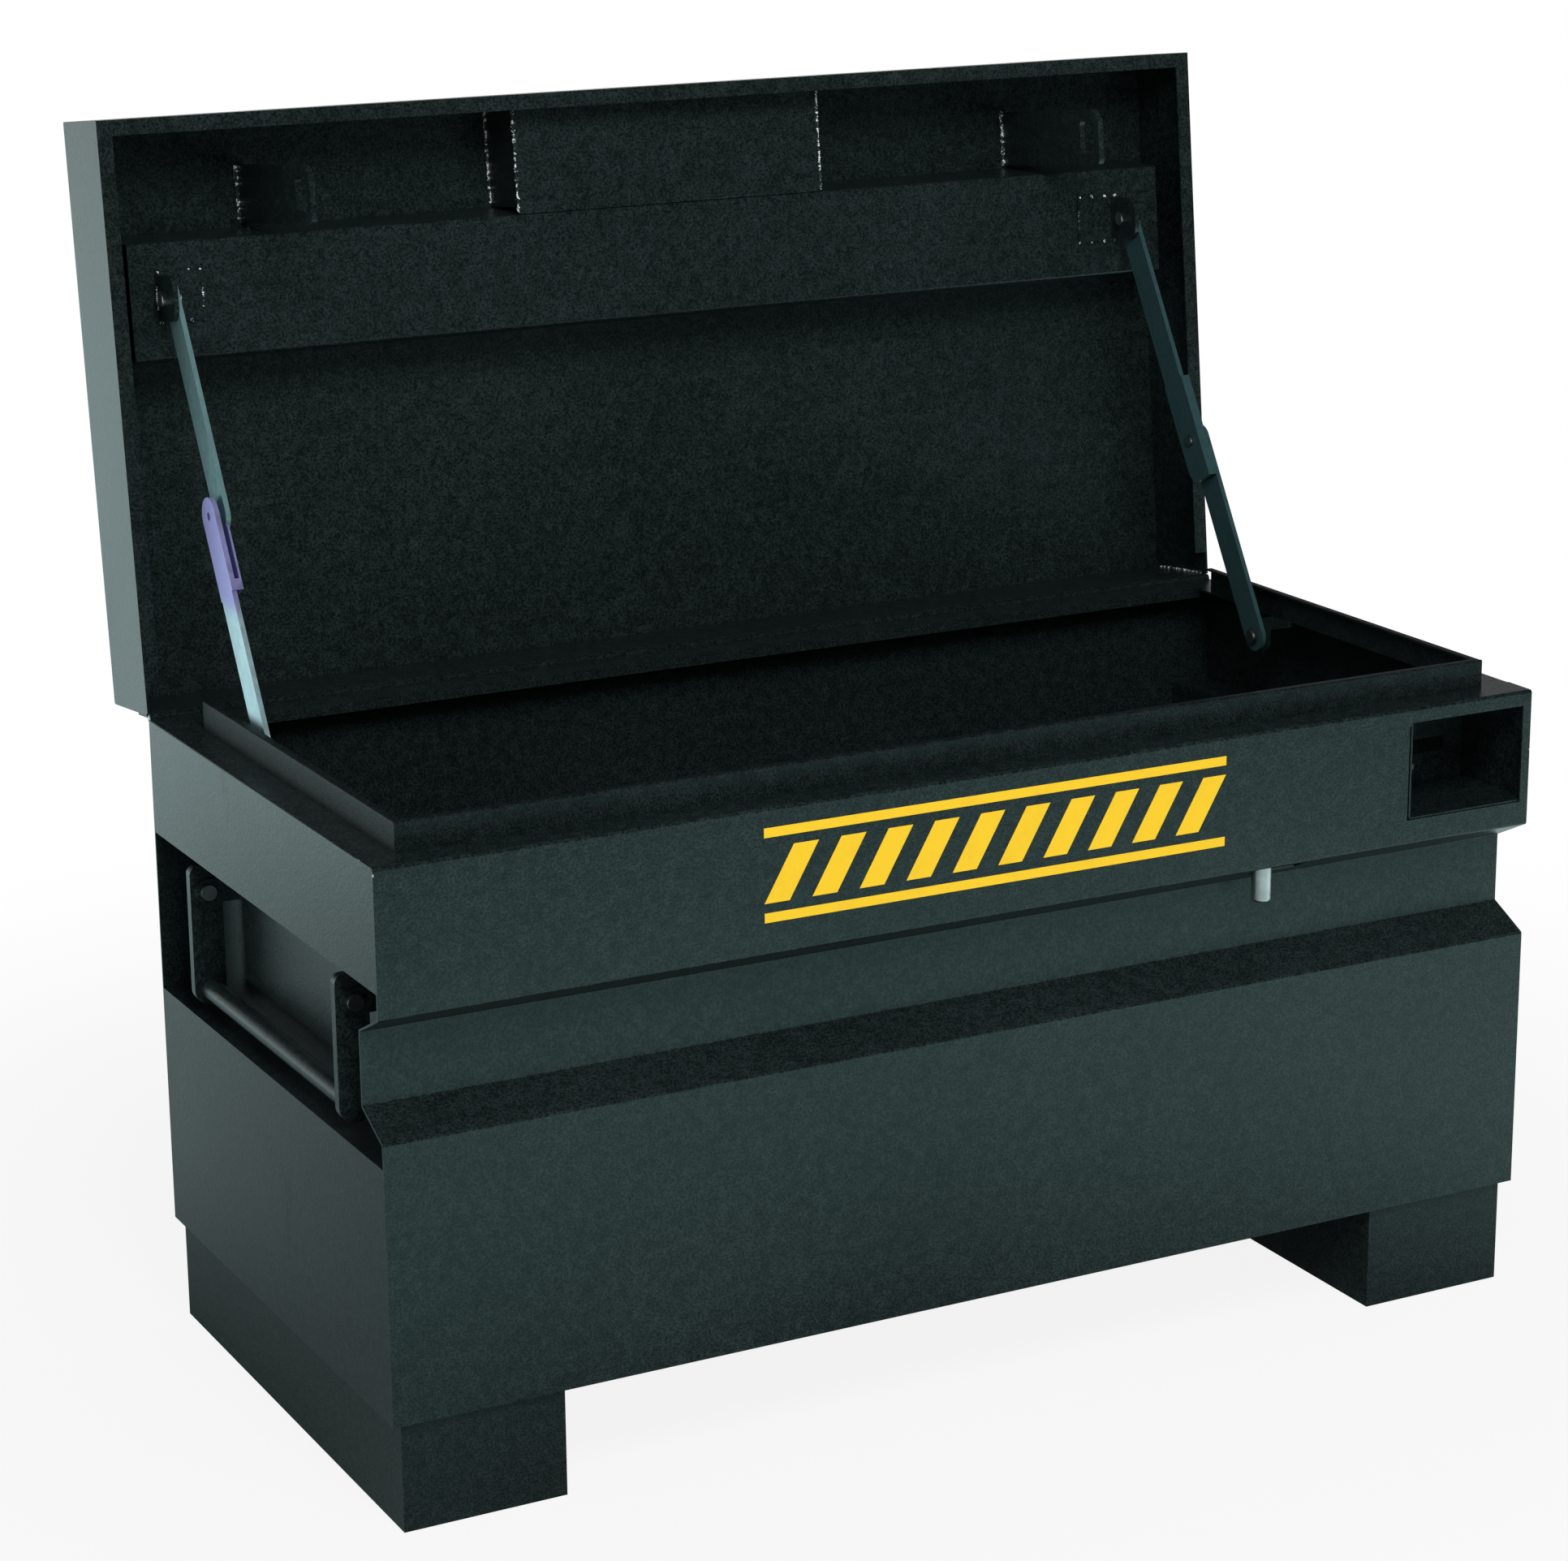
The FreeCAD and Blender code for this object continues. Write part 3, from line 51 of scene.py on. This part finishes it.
class Wire:
    """One output of a finish's nodes. Arithmetic on wires and numbers adds the Math nodes for it."""

    def __init__(self, tree, socket=None):
        self.tree = tree
        self.socket = socket

    def add(self, kind, settings=(), sockets=(), out=0):
        """Adds a node: its settings are set first, then its sockets from values or wires."""
        node = self.tree.nodes.new(kind)
        for name, value in dict(settings).items():
            setattr(node, name, value)
        for name, value in dict(sockets).items():
            if isinstance(value, Wire):
                self.tree.links.new(value.socket, node.inputs[name])
            else:
                node.inputs[name].default_value = value
        return Wire(self.tree, node.outputs[out] if node.outputs else None)

    def math(self, operation, *values, clamp=False):
        return self.add("ShaderNodeMath", {"operation": operation, "use_clamp": clamp}, enumerate(values))

    def __add__(self, other):
        return self.math("ADD", self, other)

    def __sub__(self, other):
        return self.math("SUBTRACT", self, other)

    def __rsub__(self, other):
        return self.math("SUBTRACT", other, self)

    def __mul__(self, other):
        return self.math("MULTIPLY", self, other)

    __radd__ = __add__
    __rmul__ = __mul__

    def clamped(self):
        return self.math("ADD", self, 0.0, clamp=True)

    def step(self, low, high):
        """0 below low, 1 above high and smooth between; low may be the larger one."""
        return self.add("ShaderNodeMapRange", {"interpolation_type": "SMOOTHSTEP"},
                        {"Value": self, "From Min": low, "From Max": high})

    def blend(self, off, on):
        """A colour that goes from off to on with this wire."""
        return self.add("ShaderNodeMix", {"data_type": "RGBA"},
                        {"Factor": self, 6: colour(off), 7: colour(on)}, out=2)

    def noise(self, scale, detail, roughness):
        return self.add("ShaderNodeTexNoise", {}, {"Vector": self, "Scale": scale, "Detail": detail,
                                                   "Roughness": roughness}, out="Fac")

    def stretch(self, x, y, z):
        """This place with its axes scaled, so that a pattern on it is drawn out."""
        return self.add("ShaderNodeVectorMath", {"operation": "MULTIPLY"}, {0: self, 1: (x, y, z)})

    def axes(self):
        split = self.add("ShaderNodeSeparateXYZ", {}, {0: self})
        node = split.socket.node
        return [Wire(self.tree, node.outputs[number]) for number in range(3)]

    def distance(self, place):
        return self.add("ShaderNodeVectorMath", {"operation": "DISTANCE"}, {0: self, 1: place}, out="Value")


def colour(value):
    """Colours are written as three numbers; a socket wants four."""
    return value if isinstance(value, Wire) else (*value, 1)


def new_finish(name):
    """An empty finish: its shader, the place on the piece, and its tree wrapped for more nodes."""
    finish = bpy.data.materials.new(name)
    finish.use_nodes = True
    tree = finish.node_tree
    shader = tree.nodes["Principled BSDF"]
    place = Wire(tree).add("ShaderNodeTexCoord", out="Object")
    return finish, shader, place


def feed(shader, **sockets):
    """Sets the shader's sockets; their names are written with underscores."""
    for name, value in sockets.items():
        socket = shader.inputs[name.replace("_", " ")]
        if isinstance(value, Wire):
            value.tree.links.new(value.socket, socket)
        else:
            socket.default_value = colour(value) if isinstance(value, tuple) and len(value) == 3 else value


def grain(place, height, distance, strength):
    """A bump from a height pattern."""
    return place.add("ShaderNodeBump", {}, {"Height": height, "Distance": distance, "Strength": strength})


CHARCOAL = (0.0090, 0.0140, 0.0140)
CHARCOAL_PALE = (0.0235, 0.0350, 0.0350)
CHARCOAL_DEEP = (0.0012, 0.0024, 0.0024)
DUST = (0.10, 0.12, 0.12)
PRIMER = (0.45, 0.47, 0.46)


def powder_coat(name, painted_light_and_shade=1.0, gloss=0.26, chips=(), dusty=0.35):
    """Charcoal powder coat: cloudy patches, pebbled skin, faint dust and rubs, and chips down to primer.
    The number after the name scales its tones: below 1 is painted shade, above 1 painted light.
    """
    finish, shader, place = new_finish(name)
    clouds = place.noise(2.3, 4, 0.6).step(0.35, 0.7)
    mottle = place.noise(90, 4, 0.75).step(0.3, 0.72)
    pebble = place.noise(480, 3, 0.7)
    rubs = place.stretch(14, 14, 3).noise(1, 5, 0.7).step(0.62, 0.8)
    dust = place.noise(9, 6, 0.75).step(0.55, 0.85) * place.noise(160, 2, 0.7).step(0.4, 0.8)
    # Painted light and shade: each copy of the coat scales the three tones by one number.
    deep, mid, pale = (tuple(painted_light_and_shade * part for part in tone)
                       for tone in (CHARCOAL_DEEP, CHARCOAL, CHARCOAL_PALE))
    coat = (clouds * 0.35 + mottle * 0.85).clamped().blend(mid, pale)
    coat = (pebble.step(0.56, 0.42) * 0.75).blend(coat, deep)
    coat = (dust * dusty * 0.2).blend(coat, DUST)
    for centre, radius in chips:
        ragged = place.distance(centre) + place.noise(420, 3, 0.7) * radius * 0.9
        coat = ragged.step(radius * 1.05, radius * 0.85).blend(coat, PRIMER)
    roughness = gloss + clouds * 0.05 + pebble * 0.08 + rubs * 0.1
    feed(shader, Base_Color=coat, Roughness=roughness,
         Normal=grain(place, pebble + place.noise(200, 2, 0.5) * 0.5, 0.0005, 0.5))
    feed(shader, Specular_IOR_Level=0.5, Specular_Tint=(0.70, 1.0, 1.0))
    return finish


def dress(finish, *nodes):
    """Gives a finish to nodes of the frame, which keep their own shape."""
    for name in nodes:
        mesh = frame["nodes"][name].data
        mesh.materials.clear()
        mesh.materials.append(finish)


front_low, front_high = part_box("front_panel")
left_edge, front_face, right_edge = front_low.x, front_low.y, front_high.x
ledge = front_high.z
GROOVE_RISE = 0.024
groove_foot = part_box("left_lower_side")[1].z + GROOVE_RISE

EDGE_CHIPS = [
    (Vector((left_edge, front_face, groove_foot + 0.001)), 0.0032),
    (Vector((left_edge, front_face, groove_foot + 0.026)), 0.0022),
    (Vector((left_edge, front_face, ledge - 0.006)), 0.0026),
    (Vector((left_edge, front_face + 0.03, ledge)), 0.0016),
    (Vector((right_edge, front_face, ledge - 0.06)), 0.0018),
]
shell_coat = powder_coat("charcoal_powder_coat", chips=EDGE_CHIPS)
dress(shell_coat, "front_panel", "back_panel", "rear_rail", "floor_panel",
      "left_lower_side", "right_lower_side", "left_upper_side", "right_upper_side")
# Painted shade: the rims' coat is the shell's drawn at 0.8 of its tones, and rougher.
rim_coat = powder_coat("rim_powder_coat", painted_light_and_shade=0.8, gloss=0.5)
dress(rim_coat, "front_rim", "left_rim", "right_rim")

# ---------------------------------------------------------------- skids
# Two steel channels under the ends of the box keep it off the floor, so that a lift truck's forks go
# between them. Each is folded with turned-in feet and closed by a plate at both ends, then coated.

# Painted shade: the skids' coat is the shell's drawn slightly darker; the dust on it is its own.
skid_coat = powder_coat("skid_powder_coat", painted_light_and_shade=0.92, gloss=0.42, dusty=0.8)
dress(skid_coat, *(f"{side}_skid{part}" for side in ("left", "right")
                   for part in ("", "_front_cap", "_rear_cap")))

# ---------------------------------------------------------------- handle recesses and handles
# A channel is let into each side. In it two flat legs with a round grip welded between them hang on
# zinc-plated bolts between welded ears, and swing out for lifting. All but the bolts is coated with the
# box and rubbed by hands.

# Painted shade: the recess's coat is the shell's drawn a little darker.
recess_coat = powder_coat("recess_powder_coat", painted_light_and_shade=0.9, gloss=0.24)
# Painted light: the handles' coat is the shell's drawn half again as light; the dust on it is its own.
handle_coat = powder_coat("handle_powder_coat", painted_light_and_shade=1.5, gloss=0.26, dusty=0.8)


def plated(name, bright, dull, roughness):
    """Zinc plating: metallic, cloudy, drawn out along the piece, with fine scratches."""
    finish, shader, place = new_finish(name)
    cloud = place.noise(55, 4, 0.6).step(0.3, 0.7)
    drawn = place.stretch(40, 40, 6).noise(6, 5, 0.7)
    spangle = place.noise(900, 2, 0.5)
    feed(shader,
         Base_Color=(cloud * 0.6 + drawn * 0.4).clamped().blend(dull, bright),
         Roughness=roughness + drawn * 0.18 + spangle * 0.06,
         Normal=grain(place, drawn + spangle * 0.3, 0.0003, 0.25))
    feed(shader, Metallic=1.0)
    return finish


bright_zinc = plated("bright_zinc", (0.80, 0.83, 0.83), (0.50, 0.54, 0.55), 0.22)
dress(recess_coat, "left_handle_recess", "right_handle_recess")
dress(handle_coat, "handle_brackets",
      "left_handle_legs", "left_handle_grip", "right_handle_legs", "right_handle_grip")
dress(bright_zinc, "handle_bolts")

# ---------------------------------------------------------------- padlock pocket and slide lock
# A welded pocket behind the opening in the front holds the padlock. The lock itself is a flat bar that
# slides along the front wall in three guides, with posts and bolts for the lid's hooks and a zinc-plated
# pin that hangs through the groove as its grip.

# Painted shade: the pocket's coat is the shell's drawn darker.
pocket_coat = powder_coat("pocket_powder_coat", painted_light_and_shade=0.85, gloss=0.28)
dress(pocket_coat, "pocket_floor", "pocket_cover", "pocket_back_plate", "slide_guides")
dress(bright_zinc, "slide_bar", "lock_bolts", "latch_pin", "pin_arm", "lock_tongue", "padlock_eye")

# ---------------------------------------------------------------- hinge
# One long piano hinge joins lid and back. Its leaves are coated with the box, so that only the barrel
# shows, a row of coated knuckles with the bare pin between them.

# Painted shade: the hinge leaves' coat, also used on the stays' body brackets, is the shell's drawn at 0.8
# of its tones, and rougher.
hinge_coat = powder_coat("hinge_powder_coat", painted_light_and_shade=0.8, gloss=0.34)
dress(hinge_coat, "hinge_body_leaf", "hinge_lid_leaf")
dress(bright_zinc, "hinge_pin")

# ---------------------------------------------------------------- lid
# The lid is a shallow pan of folded sheet with a hat-shaped stiffener across it and a welded cover in
# front of that. Two hook plates stand out of it for the lock. Everything is welded, then coated.

hinge = next(joint for joint in frame["joints"] if joint["name"] == "lid_hinge")
hinge_y, hinge_z = hinge["pos_m"][1:]
lid_lean = math.radians(hinge["range_deg"][1] - 90)


def on_lid(x, reach, depth):
    """A place on the open lid: reach from the hinge to its free edge, depth from its mouth to its top."""
    return Vector((x, hinge_y + reach * math.sin(lid_lean) + depth * math.cos(lid_lean),
                   hinge_z + reach * math.cos(lid_lean) - depth * math.sin(lid_lean)))


LID_CHIPS = [(on_lid(0.12, 0.003, 0.004), 0.002), (on_lid(0.21, 0.003, 0.003), 0.0016),
             (on_lid(0.515, 0.010, 0.006), 0.0026), (on_lid(0.47, 0.008, 0.006), 0.002)]
lid_coat = powder_coat("lid_powder_coat", chips=LID_CHIPS)
dress(lid_coat, "lid_top", "lid_front_wall", "lid_rear_wall", "lid_left_wall", "lid_right_wall",
      "lid_stiffener", "lid_centre_box", "left_hook_plate", "right_hook_plate",
      "left_stay_lid_bracket", "right_stay_lid_bracket")

# ---------------------------------------------------------------- weld beads
# The cover, the hook plates and the stay brackets are held by short hand-laid beads. Each is a run of
# overlapping lumps, with spatter beside it; pale specks painted into its colour are painted highlights for
# its glints.

weld_coat, weld_shader, weld_place = new_finish("coated_weld")
# Painted highlights: pale specks in the bead's colour stand in for its glints.
painted_weld_glints = weld_place.noise(260, 2, 0.6).step(0.50, 0.60)
feed(weld_shader,
     Base_Color=painted_weld_glints.blend((0.02, 0.032, 0.032), (0.85, 0.92, 0.92)),
     Roughness=0.30 - painted_weld_glints * 0.12,
     Normal=grain(weld_place, weld_place.noise(700, 2, 0.6), 0.0003, 0.4))
feed(weld_shader, Specular_IOR_Level=0.6)

welder = random.Random(11)
BEAD_PITCH = 0.0021


def lay_bead(mesh, start, end, radius):
    """Lays one bead between two places, with a few grains of spatter beside it."""
    run = end - start
    along = run.normalized().to_track_quat("X", "Z").to_matrix().to_4x4()
    for number in range(max(2, round(run.length / BEAD_PITCH))):
        place = start + run * (number + 0.5) * BEAD_PITCH / run.length
        size = radius * welder.uniform(0.75, 1.15)
        lump = Matrix.Translation(place) @ along @ Matrix.Diagonal((0.75, 1.0, 0.7, 1.0))
        bmesh.ops.create_icosphere(mesh, subdivisions=2, radius=size, matrix=lump)
        if welder.random() < 0.35:
            aside = Vector([welder.uniform(-1, 1) for _ in range(3)]) * radius * 1.6
            bmesh.ops.create_icosphere(mesh, subdivisions=1, radius=radius * welder.uniform(0.2, 0.4),
                                       matrix=Matrix.Translation(place + aside * 0.8))


def finish_mesh(name, mesh, finish, body):
    """Turns a mesh being built into a piece on a body, with the given finish."""
    data = bpy.data.meshes.new(name)
    mesh.to_mesh(data)
    mesh.free()
    data.materials.append(finish)
    piece = bpy.data.objects.new(name, data)
    bpy.context.scene.collection.objects.link(piece)
    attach(piece, body)
    return piece


cover_half = (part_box("lid_centre_box")[1].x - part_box("lid_centre_box")[0].x) / 2
TOP_DEPTH = 0.0986
FACE_DEPTH = 0.029
FAR_REACH, LID_REACH = 0.452, 0.566
HOOK_NEAR, HOOK_FAR = 0.460, 0.517
beads = bmesh.new()
for side in (-1, 1):
    corner = side * (cover_half - 0.0002)
    lay_bead(beads, on_lid(corner, FAR_REACH, FACE_DEPTH + 0.0012),
             on_lid(corner, LID_REACH - 0.004, FACE_DEPTH + 0.0012), 0.0021)
    lay_bead(beads, on_lid(side * (cover_half + 0.0005), FAR_REACH + 0.009, TOP_DEPTH - 0.0008),
             on_lid(side * (cover_half + 0.0005), LID_REACH - 0.004, TOP_DEPTH - 0.0008), 0.0022)
for name in ("left_hook_plate", "right_hook_plate"):
    low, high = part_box(name)
    for x in (low.x - 0.0006, high.x + 0.0006):
        lay_bead(beads, on_lid(x, HOOK_NEAR, TOP_DEPTH - 0.001),
                 on_lid(x, HOOK_FAR, TOP_DEPTH - 0.001), 0.0027)

# Spots of weld round the plate of each stay bracket, on the face of the stiffener.
BRACKET_FACE = FACE_DEPTH - 0.0026
BRACKET_TALL = 0.048
STAY_REACH = 0.398
for name in ("left_stay_lid_bracket", "right_stay_lid_bracket"):
    low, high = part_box(name)
    for across in (0.04, 0.35, 0.7, 0.97):
        for edge in (-1, 1):
            spot = on_lid(low.x + across * (high.x - low.x) + welder.uniform(-1, 1) * 0.002,
                          STAY_REACH + edge * BRACKET_TALL / 2, BRACKET_FACE)
            bmesh.ops.create_icosphere(beads, subdivisions=2, radius=welder.uniform(0.0012, 0.0022),
                                       matrix=Matrix.Translation(spot))
    for end_x in (low.x, high.x):
        lay_bead(beads, on_lid(end_x, STAY_REACH - 0.012, BRACKET_FACE),
                 on_lid(end_x, STAY_REACH + 0.012, BRACKET_FACE), 0.0012)

# The lid's corners are closed by a fat bead where side and rear wall meet.
CORNER_X, CORNER_REACH = 0.606, 0.0052
for corner_x in (-CORNER_X, CORNER_X):
    lay_bead(beads, on_lid(corner_x, CORNER_REACH, 0.008), on_lid(corner_x, CORNER_REACH, 0.090), 0.0018)
weld_beads = finish_mesh("weld_beads", beads, weld_coat, "lid")
for polygon in weld_beads.data.polygons:
    polygon.use_smooth = True

# ---------------------------------------------------------------- stays
# Two folding stays hold the lid. Their arms are stamped from strip and zinc plated with a blue
# passivate, which turns teal and violet; each elbow has a channel that stops it when it is straight. The
# left arms get lighter copies of the finish, painted light and a painted reflection, and the right arms and
# the left rivet a darker copy, painted shade.

VIOLET = (0.42, 0.38, 0.86)
VIOLET_FADE = 0.012


def passivated(name, bright, dull, violet_band=None):
    """Blue passivate on zinc: part of it scatters light, and between two heights it may turn violet."""
    finish, shader, place = new_finish(name)
    drawn = place.stretch(60, 60, 8).noise(5, 5, 0.7)
    cloud = place.noise(70, 4, 0.65).step(0.3, 0.7)
    metal = (cloud * 0.5 + drawn * 0.5).clamped().blend(dull, bright)
    if violet_band:
        height = place.axes()[2]
        foot, head = violet_band
        violet = (height.step(foot - VIOLET_FADE, foot + VIOLET_FADE)
                  * height.step(head + VIOLET_FADE, head - VIOLET_FADE))
        metal = (violet * 0.85).blend(metal, VIOLET)
    feed(shader,
         Base_Color=metal,
         Roughness=0.30 + drawn * 0.15,
         Metallic=0.55 + cloud * 0.2,
         Normal=grain(place, drawn + place.noise(800, 2, 0.5) * 0.4, 0.0003, 0.3))
    return finish


# Copies of one passivate: the teal one is painted light, the pale one a painted reflection of a white
# backdrop and the dark one painted shade; the violet band is the passivate's own colour.
teal_zinc_painted_light = passivated("teal_passivated_zinc_painted_light", (0.42, 0.72, 0.74), (0.16, 0.34, 0.36))
pale_zinc_painted_reflection = passivated("pale_passivated_zinc_painted_reflection", (0.66, 0.90, 0.94), (0.45, 0.70, 0.78), (0.745, 0.86))
dark_zinc_painted_shade = passivated("dark_passivated_zinc_painted_shade", (0.11, 0.24, 0.26), (0.05, 0.12, 0.13))
dress(teal_zinc_painted_light, "left_stay_upper_arm")
dress(pale_zinc_painted_reflection, "left_stay_lower_arm")
dress(dark_zinc_painted_shade, "right_stay_lower_arm", "right_stay_upper_arm", "left_elbow_rivet")
dress(bright_zinc, "stay_lid_bolts", "stay_body_bolts", "right_elbow_rivet")
dress(hinge_coat, "left_stay_body_bracket", "right_stay_body_bracket")

# ---------------------------------------------------------------- label
# A plain printed vinyl strip on the front panel: safety-yellow bars between two thin rules, cut out and
# pressed on. It is thin enough to follow the sheet and has the dull sheen of vinyl.

label_finish, label_shader, label_place = new_finish("yellow_vinyl")
label_worn = label_place.noise(30, 5, 0.7).step(0.45, 0.8)
feed(label_shader,
     Base_Color=(label_worn * 0.35).blend((1.0, 0.64, 0.014), (0.80, 0.48, 0.02)),
     Roughness=0.42 + label_place.noise(120, 3, 0.6) * 0.12,
     Normal=grain(label_place, label_place.noise(500, 2, 0.5), 0.0002, 0.2))

LABEL_LEFT, LABEL_RIGHT = -0.238, 0.252
LABEL_LOW, LABEL_HIGH = 0.512, 0.600
LABEL_THICK = 0.0003
RULE = 0.009
BAR_GAP, BAR_LEAN = 0.023, 0.030
BARS = 10


def cut_vinyl(mesh, corners):
    """Adds one flat shape of the label, given by its corners anticlockwise as seen from the front."""
    glued = [mesh.verts.new((x, front_face, z)) for x, z in corners]
    shown = [mesh.verts.new((x, front_face - LABEL_THICK, z)) for x, z in corners]
    mesh.faces.new(shown)
    mesh.faces.new(glued[::-1])
    for here in range(len(corners)):
        ahead = (here + 1) % len(corners)
        mesh.faces.new((glued[here], glued[ahead], shown[ahead], shown[here]))


label = bmesh.new()
for low in (LABEL_LOW, LABEL_HIGH - RULE):
    cut_vinyl(label, [(LABEL_LEFT, low), (LABEL_RIGHT, low),
                      (LABEL_RIGHT, low + RULE), (LABEL_LEFT, low + RULE)])
bar_low, bar_high = LABEL_LOW + 2 * RULE, LABEL_HIGH - 2 * RULE
pitch = (LABEL_RIGHT - LABEL_LEFT - BAR_LEAN + BAR_GAP) / BARS
for number in range(BARS):
    left = LABEL_LEFT + number * pitch
    right = left + pitch - BAR_GAP
    cut_vinyl(label, [(left, bar_low), (right, bar_low),
                      (right + BAR_LEAN, bar_high), (left + BAR_LEAN, bar_high)])
finish_mesh("front_label", label, label_finish, "box")

# ---------------------------------------------------------------- floor, light and camera
# The box stands on a white studio sheet in front of a dark room. The sheet glows for glossy rays only,
# a painted reflection: plain in front, dim near the left side and bright behind it. Four soft lamps light
# the part; the high and the front one aren't mirrored in it.

floor_mesh = bmesh.new()
FLOOR_HALF = 12.0
bmesh.ops.create_grid(floor_mesh, x_segments=1, y_segments=1, size=FLOOR_HALF)
floor_data = bpy.data.meshes.new("studio_floor")
floor_mesh.to_mesh(floor_data)
floor_mesh.free()
floor = bpy.data.objects.new("studio_floor", floor_data)
bpy.context.scene.collection.objects.link(floor)

floor_finish = bpy.data.materials.new("studio_floor")
floor_finish.use_nodes = True
floor_tree = floor_finish.node_tree
floor_tree.nodes.clear()
start = Wire(floor_tree)
floor_place = start.add("ShaderNodeTexCoord", out="Object")
away = floor_place.distance((0.0, 0.0, 0.0))
floor_x, floor_y, _ = floor_place.axes()
seen = start.add("ShaderNodeLightPath", out="Is Camera Ray")
shine = start.add("ShaderNodeLightPath", out="Is Glossy Ray")
lit = start.add("ShaderNodeBsdfDiffuse", {}, {"Color": (0.6, 0.6, 0.6, 1)})
white = start.add("ShaderNodeEmission", {}, {"Color": (1, 1, 1, 1), "Strength": 1.0})
# Painted reflection: for glossy rays the sheet glows by itself, dimmer to the left and brighter behind,
# fading near the box and far in front.
leftward = floor_x.step(-0.4, -1.2)
level = 1 - leftward + leftward * (0.16 + floor_y.step(0.8, 2.4) * 1.2)
sheet = away.step(0.4, 1.3) * floor_y.step(-3.4, -1.4) * level
painted_reflection_glow = start.add("ShaderNodeEmission", {}, {"Color": (0.80, 1.0, 1.0, 1), "Strength": sheet})
camera_view = start.add("ShaderNodeMixShader", {}, {0: away.step(0.7, 1.9) * 0.12 + 0.88, 1: lit, 2: white})
shone = start.add("ShaderNodeMixShader", {}, {0: shine, 1: lit, 2: painted_reflection_glow})
whole = start.add("ShaderNodeMixShader", {}, {0: seen, 1: shone, 2: camera_view})
start.add("ShaderNodeOutputMaterial", {}, {"Surface": whole})
floor_data.materials.append(floor_finish)

world = bpy.data.worlds.new("studio")
world.use_nodes = True
bpy.context.scene.world = world
world.node_tree.nodes.clear()
sky = Wire(world.node_tree)
sky_x, sky_y, height = sky.add("ShaderNodeTexCoord", out="Generated").axes()
camera_ray = sky.add("ShaderNodeLightPath", out="Is Camera Ray")
glossy_ray = sky.add("ShaderNodeLightPath", out="Is Glossy Ray")
through_ray = sky.add("ShaderNodeLightPath", out="Is Transmission Ray")
band = height.step(0.40, 0.05) * (sky_y - sky_x * 0.9).step(-0.2, 0.55) * 0.95 + 0.012
other_ray = (1 - camera_ray) * (1 - glossy_ray)
strength = (camera_ray + through_ray + glossy_ray * band + other_ray * 0.36).clamped()
backdrop = sky.add("ShaderNodeBackground", {}, {"Color": (1, 1, 1, 1), "Strength": strength})
sky.add("ShaderNodeOutputWorld", {}, {"Surface": backdrop})

MIDDLE = Vector((0, 0, 0.45))
LAMPS = [
    ("high_lamp", (-0.7, -3.0, 3.4), 1.6, 1.6, 95, False),
    ("front_lamp", (0.6, -2.9, 0.42), 2.4, 0.6, 14, False),
    ("left_lamp", (-3.4, 0.6, 0.28), 2.6, 0.5, 16, True),
    ("right_lamp", (4.4, 0.3, 0.9), 2.2, 1.4, 26, True),
]
for name, place, width, height_of_lamp, power, mirrored in LAMPS:
    lamp = bpy.data.lights.new(name, "AREA")
    lamp.shape = "RECTANGLE"
    lamp.size = width
    lamp.size_y = height_of_lamp
    lamp.energy = power
    stand = bpy.data.objects.new(name, lamp)
    stand.location = place
    stand.rotation_mode = "QUATERNION"
    stand.rotation_quaternion = (MIDDLE - Vector(place)).to_track_quat("-Z", "Y")
    stand.visible_camera = False
    stand.visible_glossy = mirrored
    bpy.context.scene.collection.objects.link(stand)

VIEW_AZIMUTH, VIEW_DOWN, VIEW_ROLL = math.radians(27.716), math.radians(15.717), math.radians(-0.511)
camera_data = bpy.data.cameras.new("camera")
camera_data.sensor_width = 36
camera_data.lens = 92.10
camera_data.clip_end = 60
camera = bpy.data.objects.new("camera", camera_data)
camera.location = (-1.8046, -3.3854, 1.6017)
camera.rotation_mode = "QUATERNION"
look = Vector((math.sin(VIEW_AZIMUTH) * math.cos(VIEW_DOWN), math.cos(VIEW_AZIMUTH) * math.cos(VIEW_DOWN),
               -math.sin(VIEW_DOWN)))
camera.rotation_quaternion = look.to_track_quat("-Z", "Y") @ Quaternion((0, 0, 1), VIEW_ROLL)
bpy.context.scene.collection.objects.link(camera)
bpy.context.scene.camera = camera
bpy.context.scene.view_settings.view_transform = "Standard"
